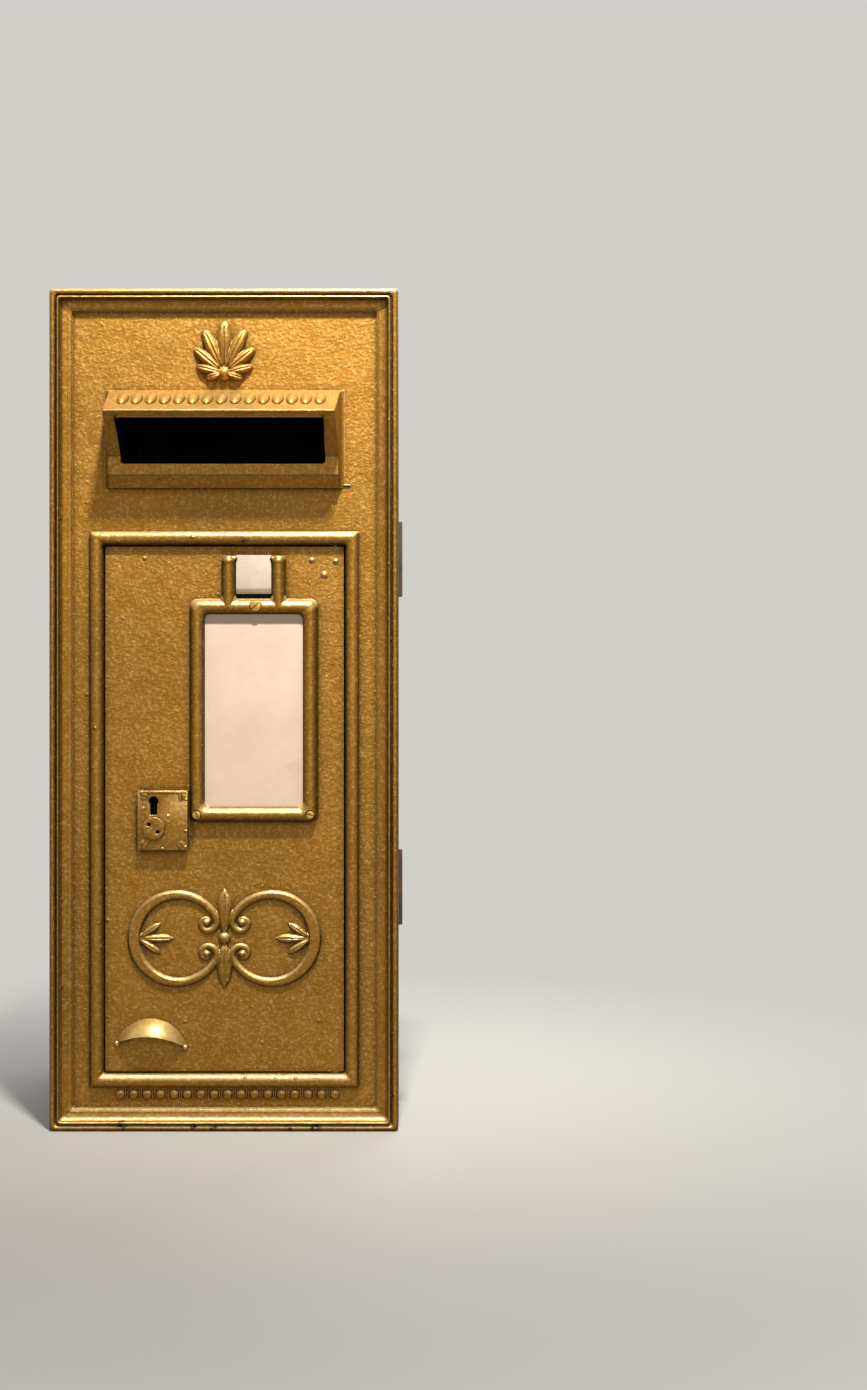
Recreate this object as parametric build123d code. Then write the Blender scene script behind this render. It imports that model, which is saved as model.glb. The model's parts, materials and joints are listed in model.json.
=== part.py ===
from build123d import *
import os
from math import cos, radians, sin

# Wall letter box of painted cast iron, with a hinged collection door.
# Sizes are in millimetres. +X is to the right of the front, +Y goes into the wall, +Z is up.
# The origin is the centre of the cast rim's rear face, which lies against the wall at y = 0.
# The street side faces -Y, so a point that stands 38 in front of the wall is at y = -38.
# A margin or a drop is measured from the edge that its name gives, inwards or downwards.

# Front casting: a moulded rim round a recessed plate
rim_width = 290.0
rim_height = 701.0
rim_wall = 6.0
rim_corner_radius = 3.0
corner_bulge = 0.28
plate_stand = 27.0
plate_thickness = 8.0

# Members of the rim moulding, from its outer edge inwards.
# Each run is measured from the outer edge, and each rise from the face of the plate.
outer_bead_run = 5.4
outer_bead_spring = 6.8
outer_bead_rise = 10.0
quirk_run = 6.4
quirk_rise = 6.5
ridge_run = 8.2
ridge_spring = 9.8
ridge_rise = 11.0
cavetto_run = 12.3
cavetto_rise = 4.6
fillet_run = 17.8
fillet_rise = 3.2
edge_step_run = 18.8
edge_step_rise = 1.2

# Door opening, by its margins from the rim's outer edges, and the bead round it
door_side_margin = 44.0
door_head_margin = 213.0
door_foot_margin = 46.9
hinge_relief = 1.5
door_bead_width = 11.5
door_bead_rise = 7.0
door_bead_edge = 1.2

# Door leaf and the clearances round it
door_gap = 1.5
stop_gap = 0.3
leaf_rib_width = 7.0
leaf_rib_depth = 5.0
leaf_rib_inset = 14.0

# Door stops behind the plate
stop_width = 16.0
stop_lap = 6.0
stop_depth = 6.0

# Hinge: a pin above and one below the door, from bosses on the plate into lugs on the leaf
pin_inset = 7.0
pin_behind_face = 5.0
pin_radius = 2.5
pin_turning_play = 0.08
pin_seat_play = 0.05
pin_engagement = 14.0
pin_seat_depth = 11.0
pin_end_play = 0.5
pin_collar_radius = 4.0
pin_collar_play = 0.3
boss_width = 16.0
boss_height = 15.0
boss_depth = 7.0
lug_width = 14.0
lug_height = 30.0
lug_depth = 6.0

# Hood over the letter slot. Each stand is measured from the face of the plate.
hood_side_margin = 44.5
hood_flare = 4.0
hood_flare_stand = 5.0
hood_taper = 2.0
hood_head_margin = 83.5
hood_stand = 50.0
hood_lip_drop = 22.0
hood_lip_height = 6.0
hood_crease_stand = 14.0
hood_crease_drop = 57.0
hood_strip_height = 14.5
hood_skirt_step = 2.0
hood_skirt_stand = 4.0
hood_skirt_height = 10.5
hood_edge_radius = 1.5
slot_side_rim = 9.5
slot_floor_below_crease = 6.0
slot_roof_back_drop = 12.0
slot_corner_radius = 3.0

# Case behind the plate, held to it by a frame of angle iron
case_recess_side = 18.0
case_recess_end = 19.5
case_depth = 310.0
case_wall = 5.0
case_back_inset = 8.0
flange_leg = 15.0
flange_thickness = 3.0
flange_setback = 3.0
angle_leg = 25.0
angle_thickness = 4.0

# Ties that hold the box in the masonry
tie_show = 3.0
tie_height = 64.0
tie_thickness = 5.0
tie_leg = 60.0
tie_setback = 5.0
tie_head_margin = 223.5
tie_foot_margin = 198.5
tie_hole_radius = 5.5
tie_hole_offset = 14.0

# Letter chute inside, behind the slot
chute_sheet = 2.0
chute_side_play = 7.0
chute_length = 90.0
chute_drop = 55.0
chute_cheek_height = 60.0
chute_flange = 14.0

# Cast ornament low on the door, between the door pull and the notice
scroll_side_margin = 20.0
scroll_foot_margin = 70.6
scroll_overlap = 3.0
scroll_band = 9.0
scroll_swell = 4.0
scroll_eye_radius = 7.0
scroll_bud_half_width = 8.0
scroll_rise = 4.0

# Lock on the door
lock_plate_margin = 29.4
lock_plate_width = 41.6
lock_plate_height = 49.4
lock_plate_drop = 22.5
lock_plate_rise = 8.0
keyhole_side_offset = 13.3
keyhole_top_offset = 8.8
keyhole_radius = 4.0
keyhole_slot_width = 6.0
keyhole_slot_length = 11.5
keyhole_depth = 4.0
cover_disc_radius = 9.2
cover_disc_offset = 31.2
cover_disc_rise = 2.2
spanner_hole_radius = 1.5
spanner_hole_reach = 5.0
spanner_hole_angle = 140.0
lock_case_width = 58.0
lock_case_height = 64.0
lock_case_depth = 16.0
lock_case_overhang = 12.4
lock_case_rise = 7.2
lock_case_clearance = 1.0

# Lock bolt, drawn back at rest
bolt_drop = 27.8
bolt_height = 12.0
bolt_thickness = 6.0
bolt_behind_leaf = 4.0
bolt_setback = 1.5
bolt_length = 34.0
bolt_throw = 16.0
bolt_play = 0.4
bolt_end_play = 2.0
keeper_setback = 2.0
keeper_wall = 4.0
keeper_width = 12.0
keeper_play = 1.0
keeper_stop_gap = 2.0

# Notice frame on the door, from the lock plate to the hinge side
notice_lock_gap = 0.7
notice_hinge_margin = 22.5
notice_head_margin = 44.8
notice_scroll_gap = 54.9
notice_bar = 12.8
notice_rise = 9.0
notice_edge = 2.0
horn_width = 12.2
horn_height = 36.0
horn_rise = 9.6
horn_tip_radius = 3.0
card_thickness = 2.0
card_gap = 0.3
tablet_width = 29.4
tablet_height = 28.0
tablet_lift = 8.3
tablet_thickness = 4.0
tablet_gap = 0.2
tablet_slot_lift = 0.2
tablet_slot_height = 4.1
tablet_slot_depth = 4.0

# Door pull: the upper half of a thin dome, open below
pull_side_margin = 8.5
pull_half_width = 31.0
pull_rise = 18.0
pull_wall = 2.5
pull_centre_height = 14.6
pull_foot_height = 3.5
pull_arch_height = 14.0

# Cast ornament at the head of the plate
palmette_lift = 7.0
palmette_heart_radius = 6.5
palmette_rise = 8.0
palmette_leaves = [
    # lean from upright, length, half width
    (0, 45, 5.2),
    (25, 41, 4.8),
    (50, 33, 4.4),
    (75, 25, 4.0),
    (103, 17, 3.4),
]

# Places worked out from the sizes above
half_rim = rim_width / 2
rim_top = rim_height / 2
plate_y = -plate_stand
plate_back_y = plate_y + plate_thickness

door_left = door_side_margin - half_rim
door_right = half_rim - door_side_margin
door_top = rim_top - door_head_margin
door_bottom = door_foot_margin - rim_top
leaf_left = door_left + door_gap
leaf_right = door_right - door_gap
leaf_top = door_top - door_gap
leaf_bottom = door_bottom + door_gap
leaf_back_y = plate_back_y - stop_gap
pin_x = leaf_right - pin_inset
pin_y = plate_y + pin_behind_face

hood_back_half_width = half_rim - hood_side_margin
hood_lip_half_width = hood_back_half_width - hood_flare - hood_taper
hood_back_z = rim_top - hood_head_margin
hood_lip_z = hood_back_z - hood_lip_drop
hood_crease_z = hood_back_z - hood_crease_drop
hood_strip_bottom_z = hood_crease_z - hood_strip_height
hood_bottom_z = hood_strip_bottom_z - hood_skirt_height
slot_half_width = hood_lip_half_width - slot_side_rim
slot_floor_z = hood_crease_z - slot_floor_below_crease
slot_roof_back_z = hood_back_z - slot_roof_back_drop

case_half_width = half_rim - rim_wall - case_recess_side
case_half_height = rim_top - rim_wall - case_recess_end
tie_upper_z = rim_top - tie_head_margin
tie_lower_z = tie_foot_margin - rim_top

scroll_half_width = (door_right - door_left) / 2 - scroll_side_margin
scroll_radius = (scroll_half_width + scroll_overlap) / 2
scroll_centre_z = door_bottom + scroll_foot_margin + scroll_radius
notice_bottom = scroll_centre_z + scroll_radius + notice_scroll_gap
notice_top = door_top - notice_head_margin
lock_plate_left = door_left + lock_plate_margin
lock_plate_right = lock_plate_left + lock_plate_width
lock_plate_bottom = notice_bottom - lock_plate_drop
lock_plate_top = lock_plate_bottom + lock_plate_height
notice_left = lock_plate_right + notice_lock_gap
notice_right = door_right - notice_hinge_margin
notice_middle_x = (notice_left + notice_right) / 2
notice_middle_z = (notice_top + notice_bottom) / 2
horn_spread = (tablet_width + horn_width) / 2 + tablet_gap
keyhole_x = lock_plate_left + keyhole_side_offset
keyhole_top_z = lock_plate_top - keyhole_top_offset

lock_case_left = lock_plate_left - lock_case_overhang
lock_case_top = lock_plate_top + lock_case_rise
bolt_z = lock_plate_top - bolt_drop
bolt_tip = door_left + stop_lap + bolt_setback
bolt_front_y = leaf_back_y + bolt_behind_leaf
bolt_back_y = bolt_front_y + bolt_thickness
keeper_right = door_left - keeper_setback
keeper_left = keeper_right - keeper_width
keeper_half_height = bolt_height / 2 + keeper_play + keeper_wall

pull_x = door_left + pull_side_margin + pull_half_width
pull_base_z = door_bottom + pull_centre_height


def facing_street(y):
    """A sketch plane whose normal points to the street, with x to the right and y up."""
    return Plane(origin=(0, y, 0), x_dir=(1, 0, 0), z_dir=(0, -1, 0))


def slab(outline, front_y, back_y):
    """A flat piece that has this outline from the street, between two depths."""
    return extrude(facing_street(back_y) * outline, back_y - front_y)


def rectangle(left, right, bottom, top):
    """A rectangle given by its sides, as seen from the street."""
    return Pos((left + right) / 2, (bottom + top) / 2) * Rectangle(right - left, top - bottom)


def block(left, right, front, back, bottom, top):
    """A plain block given by its six sides."""
    size = (right - left, back - front, top - bottom)
    middle = ((left + right) / 2, (front + back) / 2, (bottom + top) / 2)
    return Pos(*middle) * Box(*size)


def upright_pin(radius, from_z, to_z):
    """A round bar on the hinge axis, between two heights."""
    return Pos(pin_x, pin_y, (from_z + to_z) / 2) * Cylinder(radius, abs(to_z - from_z))


def side_extrusion(points, half_width):
    """A piece whose side view has these corners, given as distance out from the wall and height."""
    side = Plane(origin=(0, 0, 0), x_dir=(0, -1, 0), z_dir=(-1, 0, 0))
    return extrude(side * make_face(Polyline(*points, close=True)), half_width, both=True)


def mitred_member(section, depth, length):
    """One side of a frame: the section run along X, with both ends cut to a mitre."""
    start = Plane(origin=(length / 2, 0, 0), x_dir=(0, 0, -1), z_dir=(-1, 0, 0))
    run = extrude(start * section, length)
    half = length / 2
    mitre = Polyline((-half, 0), (half, 0), (half - depth, -depth), (depth - half, -depth), close=True)
    return run & extrude(Plane.XZ * make_face(mitre), rim_width, both=True)


def mitred_frame(section, depth, width, height, centre_z):
    """Four mitred sides, fused at their corners. The section's x runs inwards, its y to the street."""
    sides = [
        # turn, length, distance of the outer edge from the centre
        (0, width, height / 2),
        (90, height, width / 2),
        (180, width, height / 2),
        (270, height, width / 2),
    ]
    frame = None
    for turn, length, reach in sides:
        side = Rot(Y=turn) * Pos(0, 0, reach) * mitred_member(section, depth, length)
        frame = side if frame is None else frame + side
    return Pos(0, 0, centre_z) * frame


def rim_section():
    """Section of the rim: outer bead, quirk, ridge, cavetto, sloping fillet and edge step."""
    def at(run, rise):
        return (run, plate_stand + rise)

    cavetto_middle_run = ridge_run + (cavetto_run - ridge_run) * 0.32
    cavetto_middle_rise = cavetto_rise + (ridge_spring - cavetto_rise) * 0.36
    return make_face([
        Line((0, 0), at(0, outer_bead_spring)),
        ThreePointArc(at(0, outer_bead_spring), at(outer_bead_run / 2, outer_bead_rise),
                      at(outer_bead_run, outer_bead_spring)),
        Polyline(at(outer_bead_run, outer_bead_spring), at(outer_bead_run, quirk_rise),
                 at(quirk_run, quirk_rise), at(quirk_run, ridge_spring)),
        ThreePointArc(at(quirk_run, ridge_spring), at((quirk_run + ridge_run) / 2, ridge_rise),
                      at(ridge_run, ridge_spring)),
        ThreePointArc(at(ridge_run, ridge_spring), at(cavetto_middle_run, cavetto_middle_rise),
                      at(cavetto_run, cavetto_rise)),
        Polyline(at(cavetto_run, cavetto_rise), at(fillet_run, fillet_rise), at(fillet_run, edge_step_rise),
                 at(edge_step_run, edge_step_rise), at(edge_step_run, 0), at(rim_wall, 0),
                 (rim_wall, 0), (0, 0)),
    ])


def rim_moulding():
    """The moulded rim, with softened corners and a return wall that reaches back to the wall."""
    frame = mitred_frame(rim_section(), edge_step_run + 1, rim_width, rim_height, 0)
    radius = rim_corner_radius
    bulge = radius * corner_bulge
    for side in (-1, 1):
        for lift in (-1, 1):
            x = side * half_rim
            z = lift * rim_top
            corner = make_face([
                ThreePointArc((x - side * radius, z), (x - side * bulge, z - lift * bulge),
                              (x, z - lift * radius)),
                Polyline((x, z - lift * radius), (x + side, z - lift * radius), (x + side, z + lift),
                         (x - side * radius, z + lift), (x - side * radius, z)),
            ])
            frame -= slab(corner, plate_y - 2 * ridge_rise, 1)
    return frame


def front_plate():
    """The recessed plate, with its letter slot, its door opening and a bored boss for each hinge pin."""
    plate = slab(Rectangle(rim_width - 2 * rim_wall, rim_height - 2 * rim_wall), plate_y, plate_back_y)
    door_hole = rectangle(door_left, door_right + hinge_relief, door_bottom, door_top)
    slot_hole = rectangle(-slot_half_width, slot_half_width, slot_floor_z, slot_roof_back_z)
    plate -= slab(door_hole + slot_hole, plate_y - 1, plate_back_y + 1)
    for end_z, outward in ((door_top, 1), (door_bottom, -1)):
        low, high = sorted((end_z, end_z + outward * boss_height))
        boss = block(pin_x - boss_width / 2, pin_x + boss_width / 2, plate_back_y, plate_back_y + boss_depth,
                     low, high)
        plate += boss
        plate -= upright_pin(pin_radius + pin_seat_play, end_z - outward, end_z + outward * pin_seat_depth)
    return plate


def bead_section(width, edge, rise):
    """Section of a rounded bead that stands on the plate."""
    return make_face([
        Polyline((width, plate_stand + edge), (width, plate_stand), (0, plate_stand), (0, plate_stand + edge)),
        ThreePointArc((0, plate_stand + edge), (width / 2, plate_stand + rise), (width, plate_stand + edge)),
    ])


def door_bead():
    """The rounded bead round the door opening, mitred at its corners."""
    width = door_bead_width
    section = bead_section(width, door_bead_edge, door_bead_rise)
    outer_width = door_right - door_left + 2 * width
    outer_height = door_top - door_bottom + 2 * width
    return mitred_frame(section, width + 1, outer_width, outer_height, (door_top + door_bottom) / 2)


def hood_throat():
    """The space that letters pass through, from the hood's mouth to the back of the plate."""
    mouth = plate_stand + hood_stand + 10
    roof_slope = (slot_roof_back_z - hood_lip_z + hood_lip_height) / hood_stand
    throat = side_extrusion([
        (plate_stand - 1, slot_floor_z),
        (mouth, slot_floor_z),
        (mouth, hood_lip_z - hood_lip_height - 10 * roof_slope),
        (plate_stand - 1, slot_roof_back_z + roof_slope),
    ], slot_half_width)
    long_edges = [edge for edge in throat.edges() if abs(edge.center().Y + (mouth + plate_stand) / 2) < 1]
    return fillet(long_edges, slot_corner_radius)


def aperture_hood():
    """The sloping hood over the letter slot, with its side rims, sill strip and skirt."""
    lip = plate_stand + hood_stand
    crease = plate_stand + hood_crease_stand
    solid = side_extrusion([
        (plate_stand, hood_back_z),
        (lip, hood_lip_z),
        (lip, hood_lip_z - hood_lip_height),
        (crease, hood_crease_z),
        (crease, hood_strip_bottom_z),
        (crease - hood_skirt_step, hood_strip_bottom_z),
        (plate_stand + hood_skirt_stand, hood_bottom_z),
        (plate_stand, hood_bottom_z),
    ], rim_width / 2)

    back = hood_back_half_width
    cheek = back - hood_flare
    flare_y = plate_y - hood_flare_stand
    lean = (cheek - hood_lip_half_width, lip + flare_y)
    flare = TangentArc((cheek, flare_y), (back, plate_y), tangent=lean)
    plan = make_face([
        Line((-back, plate_y), (back, plate_y)),
        flare,
        Polyline((cheek, flare_y), (hood_lip_half_width, -lip), (-hood_lip_half_width, -lip),
                 (-cheek, flare_y)),
        mirror(flare, Plane.YZ),
    ])
    solid = solid & (Pos(0, 0, hood_bottom_z - 5) * extrude(plan, hood_back_z - hood_bottom_z + 10))
    front_edges = [edge for edge in solid.edges() if edge.center().Y < 0.1 - lip]
    side_edges = [edge for edge in solid.edges()
                  if edge.center().Y < flare_y - 1 and abs(edge.center().X) > hood_lip_half_width]
    flare_edges = [edge for edge in solid.edges()
                   if edge.center().Z > hood_lip_z + 1 and flare_y - 1 < edge.center().Y < plate_y - 0.1]
    solid = fillet(front_edges + side_edges + flare_edges, hood_edge_radius)
    return solid - hood_throat()


def palmette():
    """Plain fan of pointed leaves that spring from a round heart, at the head of the plate."""
    heart = Pos(0, hood_back_z + palmette_lift + palmette_heart_radius)
    fan = heart * Circle(palmette_heart_radius)
    for lean, length, half_width in palmette_leaves:
        for side in (-1, 1):
            edge = ThreePointArc((0, 0), (half_width, length * 0.55), (0, length))
            back = ThreePointArc((0, length), (-half_width, length * 0.55), (0, 0))
            fan += heart * Rot(Z=-side * lean) * make_face([edge, back])
    return slab(fan, plate_y - palmette_rise, plate_y)


def keyhole_outline():
    """A round-headed keyhole."""
    neck = rectangle(keyhole_x - keyhole_slot_width / 2, keyhole_x + keyhole_slot_width / 2,
                     keyhole_top_z - keyhole_slot_length, keyhole_top_z)
    return Pos(keyhole_x, keyhole_top_z) * Circle(keyhole_radius) + neck


def door_leaf():
    """The door's plate, with hinge lugs, a rib round its back and a pocket below the tablet."""
    leaf = slab(rectangle(leaf_left, leaf_right, leaf_bottom, leaf_top), plate_y, leaf_back_y)
    rib_outer = rectangle(leaf_left + leaf_rib_inset, pin_x - lug_width - 2,
                          leaf_bottom + leaf_rib_inset, leaf_top - leaf_rib_inset)
    rib_inner = offset(rib_outer, -leaf_rib_width, kind=Kind.INTERSECTION)
    rib_back_y = leaf_back_y + leaf_rib_depth
    leaf += slab(rib_outer - rib_inner, leaf_back_y, rib_back_y)

    half_tablet = tablet_width / 2 + tablet_gap
    tablet_slot = rectangle(notice_middle_x - half_tablet, notice_middle_x + half_tablet,
                            notice_top + tablet_slot_lift, notice_top + tablet_slot_lift + tablet_slot_height)
    leaf -= slab(tablet_slot, plate_y - 1, plate_y + tablet_slot_depth)
    leaf -= slab(keyhole_outline(), plate_y - 1, plate_y + keyhole_depth)

    # The rib is cut away round the lock case and in front of the bolt
    case_left = lock_case_left - lock_case_clearance
    case_right = lock_case_left + lock_case_width + lock_case_clearance
    case_bottom = lock_case_top - lock_case_height - lock_case_clearance
    leaf -= block(case_left, case_right, leaf_back_y, rib_back_y + 1,
                  case_bottom, lock_case_top + lock_case_clearance)
    leaf -= block(leaf_left, case_left + 1, leaf_back_y, rib_back_y + 1,
                  bolt_z - bolt_height, bolt_z + bolt_height)

    for end_z, inward in ((leaf_top, -1), (leaf_bottom, 1)):
        low, high = sorted((end_z, end_z + inward * lug_height))
        leaf += block(leaf_right - lug_width, leaf_right, leaf_back_y, leaf_back_y + lug_depth, low, high)
        bore_end = end_z + inward * (pin_engagement + pin_end_play)
        leaf -= upright_pin(pin_radius + pin_turning_play, end_z - inward, bore_end)
    return leaf


def hinge_pin(upper):
    """A steel pin from its boss into the leaf. The lower one has a collar that carries the door."""
    if upper:
        return upright_pin(pin_radius, leaf_top - pin_engagement, door_top + pin_seat_depth - pin_end_play)
    pin = upright_pin(pin_radius, leaf_bottom + pin_engagement, door_bottom - pin_seat_depth + pin_end_play)
    return pin + upright_pin(pin_collar_radius, door_bottom, leaf_bottom - pin_collar_play)


def door_stops():
    """Stop bars behind the plate, along the top, bottom and lock sides of the opening."""
    right = pin_x - lug_width - stop_gap
    left = door_left + stop_lap - stop_width
    keeper_clear = keeper_half_height + keeper_stop_gap
    bars = [
        # left, right, bottom, top
        (left, right, door_top - stop_lap, door_top - stop_lap + stop_width),
        (left, right, door_bottom + stop_lap - stop_width, door_bottom + stop_lap),
        (left, left + stop_width, bolt_z + keeper_clear, door_top - stop_lap - stop_gap),
        (left, left + stop_width, door_bottom + stop_lap + stop_gap, bolt_z - keeper_clear),
    ]
    pieces = []
    for bar_left, bar_right, bottom, top in bars:
        pieces.append(block(bar_left, bar_right, plate_back_y, plate_back_y + stop_depth, bottom, top))
    return Compound(children=pieces)


def notice_frame():
    """Half-round frame for the notice, with two horns that cross its head and hold the day tablet."""
    section = bead_section(notice_bar, notice_edge, notice_rise)
    frame = mitred_frame(section, notice_bar + 1, notice_right - notice_left, notice_top - notice_bottom,
                         notice_middle_z)
    frame = Pos(notice_middle_x, 0, 0) * frame
    horn_length = notice_bar + horn_height
    tip = Pos(0, notice_top + horn_height - horn_length / 2)
    tip *= RectangleRounded(horn_width, horn_length, horn_tip_radius)
    for side in (-1, 1):
        x = notice_middle_x + side * horn_spread
        top = Plane(origin=(x - horn_width / 2, 0, notice_top + horn_height), x_dir=(1, 0, 0), z_dir=(0, 0, -1))
        horn = extrude(top * bead_section(horn_width, notice_edge, horn_rise), horn_length)
        frame += horn & slab(Pos(x, 0) * tip, plate_y - 2 * horn_rise, plate_y + 1)
    return frame


def notice_card():
    """Blank card in the notice frame."""
    inset = notice_bar + card_gap
    card = rectangle(notice_left + inset, notice_right - inset, notice_bottom + inset, notice_top - inset)
    return slab(card, plate_y - card_thickness, plate_y)


def day_tablet():
    """Blank tablet between the horns."""
    bottom = notice_top + tablet_lift
    tablet = rectangle(notice_middle_x - tablet_width / 2, notice_middle_x + tablet_width / 2,
                       bottom, bottom + tablet_height)
    return slab(tablet, plate_y - tablet_thickness, plate_y)


def lock_plate():
    """Thin plate round the keyhole."""
    outline = rectangle(lock_plate_left, lock_plate_right, lock_plate_bottom, lock_plate_top)
    return slab(outline - keyhole_outline(), plate_y - lock_plate_rise, plate_y)


def cover_disc():
    """Round cover on the lock plate, with two holes for a spanner."""
    centre_z = lock_plate_top - cover_disc_offset
    disc = Pos(keyhole_x, centre_z) * Circle(cover_disc_radius)
    for turn in (spanner_hole_angle, spanner_hole_angle + 180):
        x = keyhole_x + spanner_hole_reach * cos(radians(turn))
        z = centre_z + spanner_hole_reach * sin(radians(turn))
        disc -= Pos(x, z) * Circle(spanner_hole_radius)
    face = plate_y - lock_plate_rise
    return slab(disc, face - cover_disc_rise, face)


def lock_case():
    """Lock case behind the leaf, with the pocket that its bolt slides in."""
    case = block(lock_case_left, lock_case_left + lock_case_width, leaf_back_y, leaf_back_y + lock_case_depth,
                 lock_case_top - lock_case_height, lock_case_top)
    return case - block(lock_case_left - 1, bolt_tip + bolt_length + bolt_end_play,
                        bolt_front_y - bolt_play, bolt_back_y + bolt_play,
                        bolt_z - bolt_height / 2 - bolt_play, bolt_z + bolt_height / 2 + bolt_play)


def lock_bolt():
    """The bolt, drawn back into its case."""
    return block(bolt_tip, bolt_tip + bolt_length, bolt_front_y, bolt_back_y,
                 bolt_z - bolt_height / 2, bolt_z + bolt_height / 2)


def lock_keeper():
    """The keeper behind the plate, which takes the thrown bolt."""
    mouth = bolt_height / 2 + keeper_play
    front = bolt_front_y - keeper_play
    back = bolt_back_y + keeper_play
    keeper = block(keeper_left, keeper_right, plate_back_y, back + keeper_wall,
                   bolt_z - keeper_half_height, bolt_z + keeper_half_height)
    return keeper - block(keeper_left - 1, keeper_right + 1, front, back, bolt_z - mouth, bolt_z + mouth)


def door_pull():
    """Thin half dome with an arched lip, open below for the fingers."""
    radius = (pull_half_width ** 2 + pull_rise ** 2) / (2 * pull_rise)
    centre_y = plate_y + radius - pull_rise
    shell = Pos(pull_x, centre_y, pull_base_z) * (Sphere(radius) - Sphere(radius - pull_wall))
    foot_z = pull_base_z + pull_foot_height
    keep = block(pull_x - radius, pull_x + radius, plate_y - 2 * radius, plate_y, foot_z, foot_z + radius)
    arch_rise = pull_arch_height - pull_foot_height
    arch_radius = (pull_half_width ** 2 + arch_rise ** 2) / (2 * arch_rise)
    arch = Pos(pull_x, foot_z + arch_rise - arch_radius) * Circle(arch_radius)
    return (shell & keep) - slab(arch, plate_y - 2 * radius, plate_y + 1)


def door_scrolls():
    """A plain pair of facing scrolls with a bud between them."""
    radius = scroll_radius
    ring_x = scroll_half_width - radius
    half_bud = scroll_bud_half_width
    sketch = make_face([
        ThreePointArc((0, -radius), (half_bud, 0), (0, radius)),
        ThreePointArc((0, radius), (-half_bud, 0), (0, -radius)),
    ])
    for side in (-1, 1):
        ring = Pos(side * ring_x, 0) * Circle(radius)
        ring -= Pos(side * (ring_x - scroll_swell), 0) * Circle(radius - scroll_band)
        ring -= Pos(side * (ring_x - radius), 0) * Rectangle(radius, radius * 0.8)
        for lift in (-1, 1):
            eye = Pos(side * (ring_x - radius * 0.62), lift * radius * 0.52)
            ring += eye * Circle(scroll_eye_radius)
        sketch += ring
    return slab(Pos(0, scroll_centre_z) * sketch, plate_y - scroll_rise, plate_y)


def case_panels():
    """Five plates: four butt against the front plate, and the back plate is let in between them."""
    wall = case_wall
    inner = case_half_width - wall
    front = plate_back_y
    rear = case_depth
    back_plate_rear = case_depth - case_back_inset
    panels = {
        # left, right, front, back, bottom, top
        "case_left": (-case_half_width, -inner, front, rear, -case_half_height, case_half_height),
        "case_right": (inner, case_half_width, front, rear, -case_half_height, case_half_height),
        "case_top": (-inner, inner, front, rear, case_half_height - wall, case_half_height),
        "case_bottom": (-inner, inner, front, rear, -case_half_height, wall - case_half_height),
        "case_back": (-inner, inner, back_plate_rear - wall, back_plate_rear, wall - case_half_height,
                      case_half_height - wall),
    }
    return {name: block(*limits) for name, limits in panels.items()}


def case_flange():
    """Frame of angle iron outside the case, one leg on the plate and one on the case."""
    back = -plate_back_y
    section = make_face(Polyline(
        (0, back), (flange_leg, back), (flange_leg, flange_setback),
        (flange_leg - flange_thickness, flange_setback), (flange_leg - flange_thickness, back - flange_thickness),
        (0, back - flange_thickness), close=True))
    return mitred_frame(section, flange_leg + 1, 2 * (case_half_width + flange_leg),
                        2 * (case_half_height + flange_leg), 0)


def corner_angles():
    """Angle irons in the rear upright corners of the case."""
    inner_x = case_half_width - case_wall
    inner_y = case_depth - case_back_inset - case_wall
    top = case_half_height - case_wall
    corner = Polyline((0, 0), (-angle_leg, 0), (-angle_leg, -angle_thickness),
                      (-angle_thickness, -angle_thickness), (-angle_thickness, -angle_leg),
                      (0, -angle_leg), close=True)
    angle = Pos(inner_x, inner_y, -top) * extrude(make_face(corner), 2 * top)
    return Compound(children=[angle, mirror(angle, Plane.YZ)])


def letter_chute():
    """Folded sheet that leads letters down from the slot, with a flange below it on the plate."""
    half_width = slot_half_width + chute_side_play
    start = -plate_back_y
    end = start - chute_length
    floor_z = slot_floor_z
    end_z = floor_z - chute_drop
    sheet = chute_sheet
    chute = side_extrusion([
        (start, floor_z),
        (end, end_z),
        (end, end_z - sheet),
        (start - sheet, floor_z - 2 * sheet),
        (start - sheet, floor_z - chute_flange),
        (start, floor_z - chute_flange),
    ], half_width)
    cheek_side = [
        (start, floor_z - sheet),
        (start, floor_z + chute_cheek_height),
        (end, end_z + sheet),
        (end, end_z - sheet),
    ]
    for side in (-1, 1):
        chute += Pos(side * (half_width - sheet / 2), 0, 0) * side_extrusion(cheek_side, sheet / 2)
    return chute


def fixing_tie(side, centre_z):
    """One flat iron tie: a leg on the side of the case, and a drilled foot beside it."""
    low = centre_z - tie_height / 2
    high = centre_z + tie_height / 2
    back = tie_setback + tie_thickness
    leg = block(case_half_width, case_half_width + tie_thickness, tie_setback, tie_setback + tie_leg, low, high)
    foot = block(case_half_width, half_rim + tie_show, tie_setback, back, low, high)
    hole = Pos(case_half_width + tie_hole_offset, centre_z) * Circle(tie_hole_radius)
    tie = leg + foot - slab(hole, tie_setback - 1, back + 1)
    return tie if side > 0 else mirror(tie, Plane.YZ)


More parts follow.
